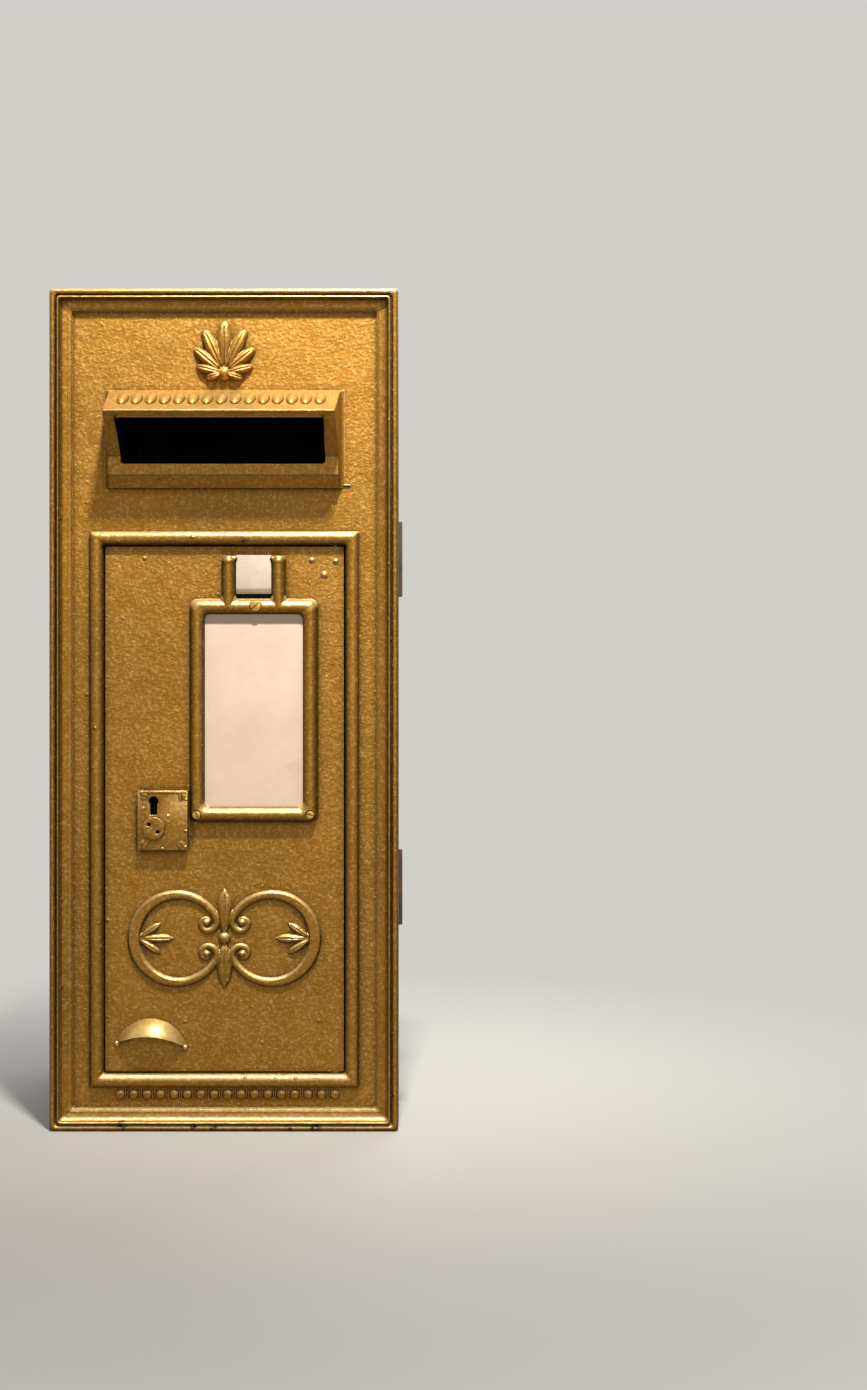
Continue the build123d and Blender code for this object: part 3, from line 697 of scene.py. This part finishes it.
def relief_line(name, points, width, rise, flat_rise):
    """A raised line with a flat top and sloping sides. The points have x, z and a share of the width."""
    let_go()
    bpy.ops.curve.primitive_nurbs_path_add(location=(0, 0, 0))
    line = bpy.context.object
    spline = line.data.splines[0]
    spline.points.add(len(points) - len(spline.points))
    for point, (x, z, share) in zip(spline.points, points):
        point.co = (x * MM, 0, z * MM, 1)
        point.radius = share
    spline.use_endpoint_u = True
    spline.order_u = 4
    spline.resolution_u = 4
    line.data.bevel_depth = width / 2 * MM
    line.data.bevel_resolution = 5
    line.data.use_fill_caps = True
    bpy.ops.object.convert(target="MESH")
    line = bpy.context.object
    line.name = name
    line.scale = (1, rise / (width / 2), 1)
    line.location = (0, PLATE_Y * MM, 0)
    settle(line)
    outward(line)
    slice_off(line, (0, PLATE_Y + 0.5, 0), (0, 1, 0))
    slice_off(line, (0, PLATE_Y - flat_rise, 0), (0, -1, 0))
    return line


LEAF_WAIST = [
    # part of the length below which the leaf narrows, share of the width that is left
    (0.50, 0.86),
    (0.34, 0.80),
    (0.18, 0.72),
]


def leaf(name, x, z, lean, length, half_width, rise, groove, tip=0.72):
    """A carved leaf from its root outwards: narrow root, full middle, blunt tip and a hollow down its back.

    groove is the depth of the hollow, and tip the share of the width that is left near the tip.
    """
    piece = ball(name, (0, 0, length / 2), 1.0, 24, 16, scale=(half_width, rise, length / 2))
    for below, share in LEAF_WAIST:
        choose(piece, lambda a, b, c: c < length * below)
        bpy.ops.transform.resize(value=(share, 1, 1), center_override=(0, 0, 0))
    choose(piece, lambda a, b, c: c > length * 0.86)
    bpy.ops.transform.resize(value=(tip, 0.9, 1), center_override=(0, 0, 0))
    choose(piece, lambda a, b, c: abs(a) < half_width * 0.1 and b < 0 and length * 0.12 < c < length * 0.9)
    bpy.ops.transform.translate(value=(0, groove * MM, 0))
    close_mesh()
    piece.rotation_euler = (0, radians(lean), 0)
    piece.location = (x * MM, PLATE_Y * MM, z * MM)
    settle(piece)
    slice_off(piece, (0, PLATE_Y + 0.5, 0), (0, 1, 0))
    return piece


# Hood and slot

HOOD_SLOPE = 23.75
HOOD_LOBES = 15
HOOD_LOBE_PITCH = 11.6
HOOD_LOBE_PLACE = (0, -51.5, 256.2)
HOOD_LOBE_RADII = (4.9, 14.2, 4.4)
HOOD_UNDERCUT = 4.2


def make_hood():
    """The hood over the slot, undercut below its lip, with a row of raised lobes across its sloping top."""
    hood = recast("aperture_hood", "hood")
    choose(hood, lambda x, y, z: y < -73.5 and z < 242)
    bpy.ops.transform.translate(value=(0, HOOD_UNDERCUT * MM, 0))
    close_mesh()
    smooth(hood, 30)
    dress(hood, hood_paint, "box", ["aperture_hood"])
    first = ball("hood_lobe", HOOD_LOBE_PLACE, 1.0, 16, 10, turn=(HOOD_SLOPE, 0, 0), scale=HOOD_LOBE_RADII)
    smooth(first, 60)
    lobes = copies_of(first, [(x, 0, 0) for x in evenly(HOOD_LOBES, HOOD_LOBE_PITCH)])
    dress(joined("hood_lobes", lobes), hood_paint, "box")


THROAT_OUTER_X = 85.05
THROAT_INNER_X = 84.2
THROAT_CUTS = [
    # point on the cut, direction of the side that is dropped
    ((0, -40.0, 211.2), (0, -0.627, -0.779)),
    ((0, -77.0, 238.4), (0, -0.305, 0.952)),
]


def make_slot_shade_lining():
    """Near-black linings on the inner sides of the hood, cut to its slopes: painted shade in the slot."""
    left_side = box_piece("shade_lining_left", -THROAT_OUTER_X, -THROAT_INNER_X, -76.0, -28.0, 204.2, 252.0)
    for point, dropped in THROAT_CUTS:
        slice_off(left_side, point, dropped)
    right_side = copy_of(left_side, "shade_lining_right", THROAT_OUTER_X + THROAT_INNER_X, 0, 0)
    dress(joined("slot_shade_lining", [left_side, right_side]), shade_black, "box")


def make_hood_nib():
    """A short ridge of paint on the plate, below the hood's right corner."""
    nib = bar("hood_nib", 99.0, 105.5, 186.4, 188.2, rise=1.4, edge=0.5)
    dress(nib, front_paint, "box")


# Cast ornament

PALMETTE_HEART_RISE = 6.5
PALMETTE_LEAVES = [
    # lean to both sides, length, half width
    (0, 44.5, 6.6),
    (25, 40.5, 6.2),
    (50, 33.0, 5.4),
    (76, 24.5, 4.4),
    (104, 16.5, 3.6),
]


def make_palmette():
    """A plain fan of carved leaves that spring from a round heart."""
    heart = in_mm(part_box("palmette")).bottom + PALMETTE_HEART_RISE
    parts = [lens("heart_rim", 0, PLATE_Y - 1.0, heart, 6.4, 4.6, 32, 14),
             lens("heart", 0, PLATE_Y - 4.4, heart, 4.2, 3.5, 28, 12)]
    for lean, length, half_width in PALMETTE_LEAVES:
        for turn in sorted({lean, -lean}):
            parts.append(leaf("leaf", 0, heart, turn, length, half_width, rise=7.4, groove=1.6, tip=1.25))
    fan = joined("palmette_casting", parts)
    melt(fan, voxel=0.40, passes=2)
    dress(fan, hood_paint, "box", ["palmette"])


SCROLL_Z = -191.0
SCROLL_RING_X = 39.0
SCROLL_RADIUS = 36.6
SCROLL_CURL_RADIUS = 9.0
SCROLL_CURL_ANGLE = 152
SCROLL_TAPER = 0.42
SCROLL_EYE_X = 14.8
SCROLL_EYE_LIFT = 13.0
SPRIG_ROOT_X = 72.0
SPRIGS = [
    # lean, length, half width
    (0, 30.0, 4.2),
    (34, 23.0, 3.6),
    (-34, 23.0, 3.6),
]


def scroll_line(side):
    """Points of one facing scroll: a swelling ring that curls in at both of its ends."""
    half = []
    for degree in range(0, SCROLL_CURL_ANGLE + 1, 8):
        turn = radians(degree)
        share = 1.0 - SCROLL_TAPER * degree / SCROLL_CURL_ANGLE
        half.append((SCROLL_RING_X + SCROLL_RADIUS * cos(turn), SCROLL_RADIUS * sin(turn), share))
    turn = radians(SCROLL_CURL_ANGLE)
    reach = SCROLL_RADIUS - SCROLL_CURL_RADIUS
    eye_x = SCROLL_RING_X + reach * cos(turn)
    eye_z = reach * sin(turn)
    for step in range(1, 14):
        turn = radians(SCROLL_CURL_ANGLE + step * 30)
        radius = SCROLL_CURL_RADIUS * (1 - 0.062 * step)
        half.append((eye_x + radius * cos(turn), eye_z + radius * sin(turn), 0.56 - 0.016 * step))
    lower = [(x, -z, share) for x, z, share in reversed(half[1:])]
    return [(side * x, SCROLL_Z + z, share) for x, z, share in lower + half]


def make_scrollwork():
    """A facing pair of carved scrolls with leaves inside them and a bud between."""
    parts = [lens("bud_pearl", 0, PLATE_Y, SCROLL_Z, 5.2, 4.0, 24, 12)]
    for side in (-1, 1):
        parts.append(relief_line("scroll", scroll_line(side), width=11.2, rise=5.2, flat_rise=3.7))
        for lean, length, half_width in SPRIGS:
            parts.append(leaf(
                "sprig", side * SPRIG_ROOT_X, SCROLL_Z, lean - side * 90,
                length, half_width, rise=3.8, groove=0.8))
        for lift in (-SCROLL_EYE_LIFT, SCROLL_EYE_LIFT):
            parts.append(lens("eye", side * SCROLL_EYE_X, PLATE_Y, SCROLL_Z + lift, 3.4, 3.9, 20, 12))
    for lean in (0, 180):
        parts.append(leaf("bud", 0, SCROLL_Z, lean, 41.5, 6.6, rise=3.9, groove=0.9))
    scrollwork = joined("scrollwork", parts)
    melt(scrollwork, voxel=0.50, passes=2)
    dress(scrollwork, front_paint, "door", ["door_scrolls"])


# Notice frame and day tablet

NOTICE_BAR_WIDTH = 13.1
HORN_SPREAD = 20.9
HORN_RADIUS = 6.0
HORN_RISE = 9.4
SEAT_RISE = 7.2
SEAT_LENGTH = 8.0


def horn_parts(side, x, root, top):
    """One horn of the notice frame, from above its root in the head bar to its cap with an inner ear."""
    foot = root - 9.5
    flat = (1, HORN_RISE / HORN_RADIUS, 1)
    post = rod("horn", (x, PLATE_Y, (top + foot) / 2), HORN_RADIUS, top - foot, 40, turn_x=0, scale=flat)
    soften(post, 3.4, angle=50, segments=6)
    slice_off(post, (0, PLATE_Y + 0.3, 0), (0, 1, 0))
    return [
        post,
        lens("horn_cap", x, PLATE_Y - 4.0, top - 5.2, 5.2, 5.9, 28, 14),
        lens("horn_ear", x - side * 5.0, PLATE_Y - 2.5, top - 2.7, 2.7, 4.2, 24, 12),
        lens("horn_root", x, PLATE_Y - 3.0, root - 3.0, 7.6, 5.2, 28, 14),
    ]


def make_notice_frame():
    """Half-round bars with rounded corners, two horns that cross the head bar, and three screws."""
    outline = in_mm(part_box("notice_frame"))
    card = in_mm(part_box("notice_card"))
    tablet = in_mm(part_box("day_tablet"))
    left, right, bottom = outline.left, outline.right, outline.bottom
    top = bottom + card.top - card.bottom + 2 * NOTICE_BAR_WIDTH
    rows = [(0.0, -0.3), (0.0, 1.3), (0.9, 1.8)]
    rows += arc_rows(1.0, 12.8, 2.0, 9.0, 12)
    rows += [(12.8, -0.3)]
    parts = [framed_moulding(
        "bars", (left + right) / 2, (top + bottom) / 2, right - left, top - bottom,
        corner=6.5, profile=rows, base_y=PLATE_Y)]
    for side in (-1, 1):
        x = (tablet.left + tablet.right) / 2 + side * HORN_SPREAD
        parts += horn_parts(side, x, top, outline.top)
    surround = joined("notice_surround", parts)
    melt(surround, voxel=0.55, passes=3)
    dress(surround, front_paint, "door", ["notice_frame"])

    screw_places = [
        # x, z, radius, angle of the slot
        (26.4, top - 6.2, 4.4, -40),
        (left + 6.6, bottom + 6.8, 3.2, 65),
        (right - 6.8, bottom + 6.8, 3.2, 15),
    ]
    seat_y = PLATE_Y - SEAT_RISE - SEAT_LENGTH / 2
    screws = []
    for x, z, radius, angle in screw_places:
        cut_away(surround, rod("screw_seat", (x, seat_y, z), radius + 0.9, SEAT_LENGTH, 32))
        screws.append(screw(
            "frame_screw", x, PLATE_Y - 7.0, z, radius, 1.4, angle, slot_depth=1.0, slot_width=1.4))
    dress(joined("frame_screws", screws), pull_paint, "door")


TABLET_DROP = 4.4
TABLET_BEVEL = (0, -0.955, -0.297)


def make_day_tablet():
    """The enamel tablet between the horns: its lower edge is bevelled and reaches down to the pocket."""
    edge = in_mm(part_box("day_tablet"))
    bottom = edge.bottom - TABLET_DROP
    tablet = box_piece("tablet", edge.left, edge.right, edge.front, edge.back, bottom, edge.top)
    slice_off(tablet, (0, edge.front, edge.bottom), TABLET_BEVEL)
    soften(tablet, 0.25, angle=12)
    dress(tablet, tablet_face, "door", ["day_tablet"])


# Door pull and lock

PULL_X = -61.5
PULL_FOOT_Z = -282.0
PULL_FOOT_SPREAD = 28.6
PULL_RADIUS = 35.69
PULL_REACH = 18.0
PULL_CENTRE_Z = -289.0
PULL_WALL = 2.4
PULL_ARCH_RADIUS = 51.0
PULL_ARCH_Z = -322.2
PULL_LEAN = -3.0


def make_hand_pull():
    """Thin half dome with an arched lip and two small feet, a little askew."""
    centre = (PULL_X, PLATE_Y + PULL_RADIUS - PULL_REACH, PULL_CENTRE_Z)
    dome = ball("hand_pull", centre, PULL_RADIUS, 96, 64)
    cut_away(dome, ball("dome_hollow", centre, PULL_RADIUS - PULL_WALL, 96, 64))
    slice_off(dome, (0, PLATE_Y, 0), (0, 1, 0))
    slice_off(dome, (0, 0, PULL_FOOT_Z), (0, 0, -1))
    cut_away(dome, rod("arch_cutter", (PULL_X, PLATE_Y, PULL_ARCH_Z), PULL_ARCH_RADIUS, 80.0, 128))
    soften(dome, 0.7, angle=45, segments=3)
    feet = []
    for x, rise in ((PULL_X - PULL_FOOT_SPREAD, 2.4), (PULL_X + PULL_FOOT_SPREAD, 3.0)):
        feet.append(lens("foot", x, PLATE_Y, PULL_FOOT_Z + 1.6, 2.6, rise, 20, 10))
    pull = joined("hand_pull", [dome] + feet)
    open_mesh(pull)
    bpy.ops.transform.rotate(
        value=radians(PULL_LEAN), orient_axis="Y", center_override=(PULL_X * MM, 0, PULL_FOOT_Z * MM))
    close_mesh()
    smooth(pull, 45)
    dress(pull, pull_paint, "door", ["door_pull"])


KEYHOLE_FROM_LEFT = 13.3
KEYHOLE_FROM_TOP = 8.8
DISC_FROM_TOP = 31.2
DISC_RADIUS = 9.2
SPANNER_RADIUS = 1.75
SPANNER_SPREAD = 4.8
LOCK_PAINT_BEADS = [
    # distance from the plate's left edge and top edge, radius
    (3.4, -1.6, 1.9),
    (34.5, -1.8, 1.8),
    (38.2, -2.2, 1.6),
    (40.3, -7.5, 1.3),
    (40.2, -12.0, 1.1),
    (40.1, -33.5, 1.6),
    (39.6, -46.8, 1.7),
    (20.5, -48.0, 1.2),
]


def make_lock_face(edge, key_x, key_z):
    """The lock's face plate with its keyhole, lumps of paint and four painted-over screws."""
    plate = box_piece("lock_face", edge.left, edge.right, edge.front, PLATE_Y, edge.bottom, edge.top)
    cut_away(plate, rod("keyhole_head", (key_x, PLATE_Y - 2, key_z), 4.0, 20.0, 40))
    cut_away(plate, box_piece(
        "keyhole_neck", key_x - 3.0, key_x + 3.0, PLATE_Y - 10, PLATE_Y + 10, key_z - 11.5, key_z))
    soften(plate, 1.1, segments=3)
    parts = [plate, bar(
        "paint_lip", edge.left + 2.0, edge.right - 1.2, edge.top - 2.4, edge.top - 0.3,
        rise=0.7, edge=0.5, base_y=edge.front)]
    for x, z, radius in LOCK_PAINT_BEADS:
        parts.append(lens(
            "paint_bead", edge.left + x, edge.front + 0.4, edge.top + z, radius, radius * 0.75, 18, 8))
    corners = [
        # x, z, slot angle
        (edge.left + 5.4, edge.top - 4.8, 20),
        (edge.right - 4.6, edge.top - 5.2, 75),
        (edge.left + 4.8, edge.bottom + 5.0, 130),
        (edge.right - 5.4, edge.bottom + 4.6, 48),
    ]
    for x, z, angle in corners:
        parts.append(screw(
            "corner_screw", x, edge.front + 0.2, z, 3.3, 0.8, angle, slot_depth=0.6, slot_width=0.9))
    dress(joined("lock_face", parts), front_paint, "door", ["lock_plate"])


def make_keyhole_shade(key_x, key_z):
    """A near-black block behind the keyhole: painted shade inside the lock."""
    guard = box_piece(
        "keyhole_shade_block", key_x - 5.5, key_x + 5.5, PLATE_Y - 4.0, PLATE_Y + 3.5, key_z - 13.0, key_z + 5.0)
    soften(guard, 0.8)
    dress(guard, shade_black, "door")


def make_cover_disc(x, face, z):
    """The cover disc on the lock's face plate, with two spanner holes and near-black discs at their bottoms
    as painted shade.
    """
    disc = rod("cover", (x, face - 0.9, z), DISC_RADIUS, 2.6, 64)
    floors = []
    for turn in (140, 320):
        hole_x = x + SPANNER_SPREAD * cos(radians(turn))
        hole_z = z + SPANNER_SPREAD * sin(radians(turn))
        cut_away(disc, rod("spanner_hole", (hole_x, face - 3.4, hole_z), SPANNER_RADIUS, 6.0, 24))
        floors.append(lens("hole_shade_disc", hole_x, face - 0.2, hole_z, 1.9, 0.5, 16, 6))
    soften(disc, 0.35, segments=3)
    dress(disc, front_paint, "door", ["cover_disc"])
    dress(joined("spanner_hole_shade", floors), shade_black, "door")


def make_lock_front():
    edge = in_mm(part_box("lock_plate"))
    key_x = edge.left + KEYHOLE_FROM_LEFT
    key_z = edge.top - KEYHOLE_FROM_TOP
    make_lock_face(edge, key_x, key_z)
    make_keyhole_shade(key_x, key_z)
    make_cover_disc(key_x, edge.front, edge.top - DISC_FROM_TOP)


HINGE_RIVETS = [
    # x, z, radius
    (72.8, 124.5, 2.7),
    (92.8, 123.7, 2.7),
    (83.2, 112.4, 3.2),
]


def make_rivet_marks():
    """Painted-over rivets of the upper hinge lug, at the top right of the door."""
    marks = []
    for x, z, radius in HINGE_RIVETS:
        marks.append(lens("mark", x, PLATE_Y, z, radius, 0.8, 24, 8))
        marks.append(lens("mark_core", x, PLATE_Y - 0.4, z, radius * 0.55, 0.9, 20, 8))
    dress(joined("hinge_rivets", marks), front_paint, "door")


# Row below the door

ROW_X = 2.5
ROW_Z = -321.5
ROW_BEADS = 17
ROW_PITCH = 11.2


def make_foot_row():
    """A plain bead-and-reel row below the door, half buried in paint."""
    row = []
    for x in evenly(ROW_BEADS, ROW_PITCH):
        row.append(lens("bead", ROW_X + x, PLATE_Y, ROW_Z, 4.3, 1.9, 18, 8))
    for x in evenly(ROW_BEADS - 1, ROW_PITCH):
        for side in (-1, 1):
            middle = ROW_X + x + side * 0.9
            row.append(bar("reel", middle - 0.5, middle + 0.5, ROW_Z - 3.6, ROW_Z + 3.6, rise=1.3, edge=0.3))
    dress(joined("foot_row", row), front_paint, "box")


# Case, ties and inner lock

SOFT_COPIES = [
    # node, piece, body, slot, rounding of its edges
    ("front_plate", "plate_casting", "box", "front_paint", 0.0),
    ("door_leaf", "door_casting", "door", "front_paint", 0.0),
    ("case_back", "back_case_plate", "box", "case_iron", 0.7),
    ("case_flange", "case_angle_frame", "box", "case_iron", 0.6),
    ("lock_case", "lock_cover", "door", "lock_brass", 0.8),
    ("lock_keeper", "keeper", "box", "forged_steel", 0.5),
    ("lock_bolt", "bolt", "bolt", "forged_steel", 0.7),
]
for side in ("left", "right", "top", "bottom"):
    SOFT_COPIES.append((f"case_{side}", f"{side}_case_plate", "box", "case_iron", 0.9))
for corner in ("upper_left", "upper_right", "lower_left", "lower_right"):
    SOFT_COPIES.append((f"fixing_tie_{corner}", f"{corner}_tie", "box", "tie_iron", 0.8))


def make_soft_copies():
    """Copies of plain CAD nodes with softened edges."""
    for node, name, body, slot, rounding in SOFT_COPIES:
        finish = leaf_paint if slot == "front_paint" else NODE_FINISHES[slot]
        dress(recast(node, name, rounding), finish, body, [node])


def head(name, radius, rise, turn_x, turn_y):
    """A round head at the origin, which looks up before it is turned."""
    piece = ball(name, (0, 0, 0), radius, 20, 10, turn=(turn_x, turn_y, 0), scale=(1, 1, rise / radius))
    smooth(piece, 60)
    return piece


def nut(name, turn_y):
    """A six-sided bolt head on a washer, which looks up before it is turned."""
    piece = rod(name, (0, 0, 2.5), 8.5, 5.0, 6, turn_x=0)
    washer = rod("washer", (0, 0, 0.8), 9.5, 1.6, 40, turn_x=0)
    soften(piece, 0.9, segments=3)
    soften(washer, 0.4)
    piece = joined(name, [piece, washer])
    piece.rotation_euler = (0, radians(turn_y), 0)
    settle(piece)
    return piece


RIVET_RADIUS = 5.0
RIVET_RISE = 2.6
FLANGE_Y = -9.5
RIVET_PITCH = 80.0
RIVET_ROWS = 8
SIDE_RIVETS = [
    # distance from the middle, y, turn of the heads about x and about y
    (124.0, FLANGE_Y, 0, 90),
    (121.0, 284.0, 0, 90),
    (104.0, 302.0, 90, 0),
]
END_RIVETS = 5
END_RIVET_PITCH = 48.0
END_RIVET_Z = 328.0


def make_case_rivets():
    """Rivets that hold the case to its angle irons."""
    rivets = []
    for reach, y, turn_x, turn_y in SIDE_RIVETS:
        first = head("rivet", RIVET_RADIUS, RIVET_RISE, turn_x, turn_y)
        places = [(side * reach, y, z) for side in (-1, 1) for z in evenly(RIVET_ROWS, RIVET_PITCH)]
        rivets += copies_of(first, places)
    first = head("rivet", RIVET_RADIUS, RIVET_RISE, 0, 0)
    ends = (-END_RIVET_Z, END_RIVET_Z)
    places = [(x, FLANGE_Y, z) for z in ends for x in evenly(END_RIVETS, END_RIVET_PITCH)]
    rivets += copies_of(first, places)
    dress(joined("case_rivets", rivets), case_iron, "box")


TIE_LEVELS = (127.0, -152.0)
TIE_NUT_X = 126.0
TIE_NUTS = [
    # y, height above the middle of the tie
    (27.0, 14.0),
    (51.0, -14.0),
]


def make_tie_nuts():
    """The bolts that hold the fixing ties to the case."""
    nuts = []
    for side in (-1, 1):
        places = [(side * TIE_NUT_X, y, level + lift) for level in TIE_LEVELS for y, lift in TIE_NUTS]
        nuts += copies_of(nut("tie_nut", side * 90), places)
    dress(joined("tie_nuts", nuts), tie_iron, "box")


SCREW_INSET = 7.0


def make_lock_screws():
    """Four round-head screws that hold the lock's cover behind the door."""
    edge = in_mm(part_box("lock_case"))
    columns = (edge.left + SCREW_INSET, edge.right - SCREW_INSET)
    levels = (edge.bottom + SCREW_INSET, edge.top - SCREW_INSET)
    first = head("cover_screw", 3.4, 1.8, 90, 0)
    screws = copies_of(first, [(x, edge.back, z) for x in columns for z in levels])
    dress(joined("cover_screws", screws), forged_steel, "door")


# Room, lamps and camera

ROOM_TONE = (0.64, 0.62, 0.59, 1)
FILL_TONE = (1.0, 0.92, 0.83, 1)
FILL_STRENGTH = 0.105
# Size of the floor, and where its own colour starts and ends its fade, in metres
FLOOR_SIZE = 14.0
FADE_START = 0.28
FADE_END = 0.90


def backdrop_rays(tree):
    """1 for the rays that show the pale room: from the camera, off gloss and through glass."""
    path = new_node(tree, "LightPath")
    shown = path.outputs["Is Camera Ray"]
    for ray in ("Is Glossy Ray", "Is Transmission Ray"):
        either = new_node(tree, "Math")
        either.operation = "MAXIMUM"
        tree.links.new(shown, either.inputs[0])
        tree.links.new(path.outputs[ray], either.inputs[1])
        shown = either.outputs[0]
    return shown


def make_floor():
    """A pale floor that fades into the pale room."""
    let_go()
    bpy.ops.mesh.primitive_plane_add(size=FLOOR_SIZE, location=(0, 0, FLOOR_Z * MM))
    floor = added("floor")
    paint = Paintwork("pale floor")
    cloud = paint.noise(1.5, 3.0)
    paint.finish(paint.mix(cloud, (0.52, 0.505, 0.48), (0.55, 0.535, 0.51)), 0.9, 0.0)
    fade = paint.ramp(paint.measure("LENGTH", paint.place), FADE_START, FADE_END)
    room = new_node(paint.tree, "Emission", {"Color": ROOM_TONE, "Strength": 1.0})
    both = new_node(paint.tree, "MixShader")
    paint.join(paint.times(fade, backdrop_rays(paint.tree)), both.inputs["Fac"])
    paint.join(paint.surface.outputs["BSDF"], both.inputs[1])
    paint.join(room.outputs["Emission"], both.inputs[2])
    paint.join(both.outputs["Shader"], paint.tree.nodes["Material Output"].inputs["Surface"])
    floor.data.materials.append(paint.material)


def make_room():
    """A world that looks pale to the camera and fills the shadows with weak warm light."""
    world = bpy.context.scene.world or bpy.data.worlds.new("pale room")
    bpy.context.scene.world = world
    world.use_nodes = True
    tree = world.node_tree
    link = tree.links.new
    tree.nodes.clear()
    seen = new_node(tree, "Background", {"Color": ROOM_TONE, "Strength": 1.0})
    fill = new_node(tree, "Background", {"Color": FILL_TONE, "Strength": FILL_STRENGTH})
    mixed = new_node(tree, "MixShader")
    link(backdrop_rays(tree), mixed.inputs["Fac"])
    link(fill.outputs[0], mixed.inputs[1])
    link(seen.outputs[0], mixed.inputs[2])
    link(mixed.outputs[0], new_node(tree, "OutputWorld").inputs["Surface"])


LAMPS = [
    # name, place in metres, turn in degrees, width and height in metres, spread in degrees, watts, colour
    ("overhead_softbox", (0.16, -0.66, 1.28), (46, 0, -3), (0.11, 0.07), 90, 14.8, (1.0, 0.98, 0.89)),
    ("front_fill", (0.5, -2.2, 0.7), (72, 0, 12), (1.2, 1.2), 180, 9.2, (1.0, 0.93, 0.82)),
    ("rear_fill", (0.8, 2.2, 1.4), (-60, 0, -20), (1.6, 1.6), 180, 34, (0.97, 0.98, 1.0)),
]


def make_lamps():
    for name, place, turn, size, spread, watts, colour in LAMPS:
        let_go()
        bpy.ops.object.light_add(type="AREA", location=place, rotation=[radians(angle) for angle in turn])
        lamp = bpy.context.object
        lamp.name = name
        lamp.data.shape = "RECTANGLE"
        lamp.data.size, lamp.data.size_y = size
        lamp.data.spread = radians(spread)
        lamp.data.energy = watts
        lamp.data.color = colour


# In metres, in millimetres and as a share of the picture
CAMERA_PLACE = (0.1745, -1.738, 0.0498)
CAMERA_LENS = 53.05
CAMERA_SHIFT = -0.0324


def make_camera():
    """A level camera in front, a little high and to the right, at the photo's place."""
    let_go()
    bpy.ops.object.camera_add(location=CAMERA_PLACE, rotation=(radians(90), 0, 0))
    camera = bpy.context.object
    camera.data.lens = CAMERA_LENS
    camera.data.sensor_width = 36
    camera.data.shift_y = CAMERA_SHIFT
    bpy.context.scene.camera = camera


finish_cad_nodes()
make_rim()
make_door_surround()
make_hood()
make_slot_shade_lining()
make_hood_nib()
make_palmette()
make_scrollwork()
make_notice_frame()
make_day_tablet()
make_hand_pull()
make_lock_front()
make_rivet_marks()
make_foot_row()
make_soft_copies()
make_case_rivets()
make_tie_nuts()
make_lock_screws()
make_floor()
make_room()
make_lamps()
make_camera()
bpy.context.scene.view_settings.view_transform = "Standard"
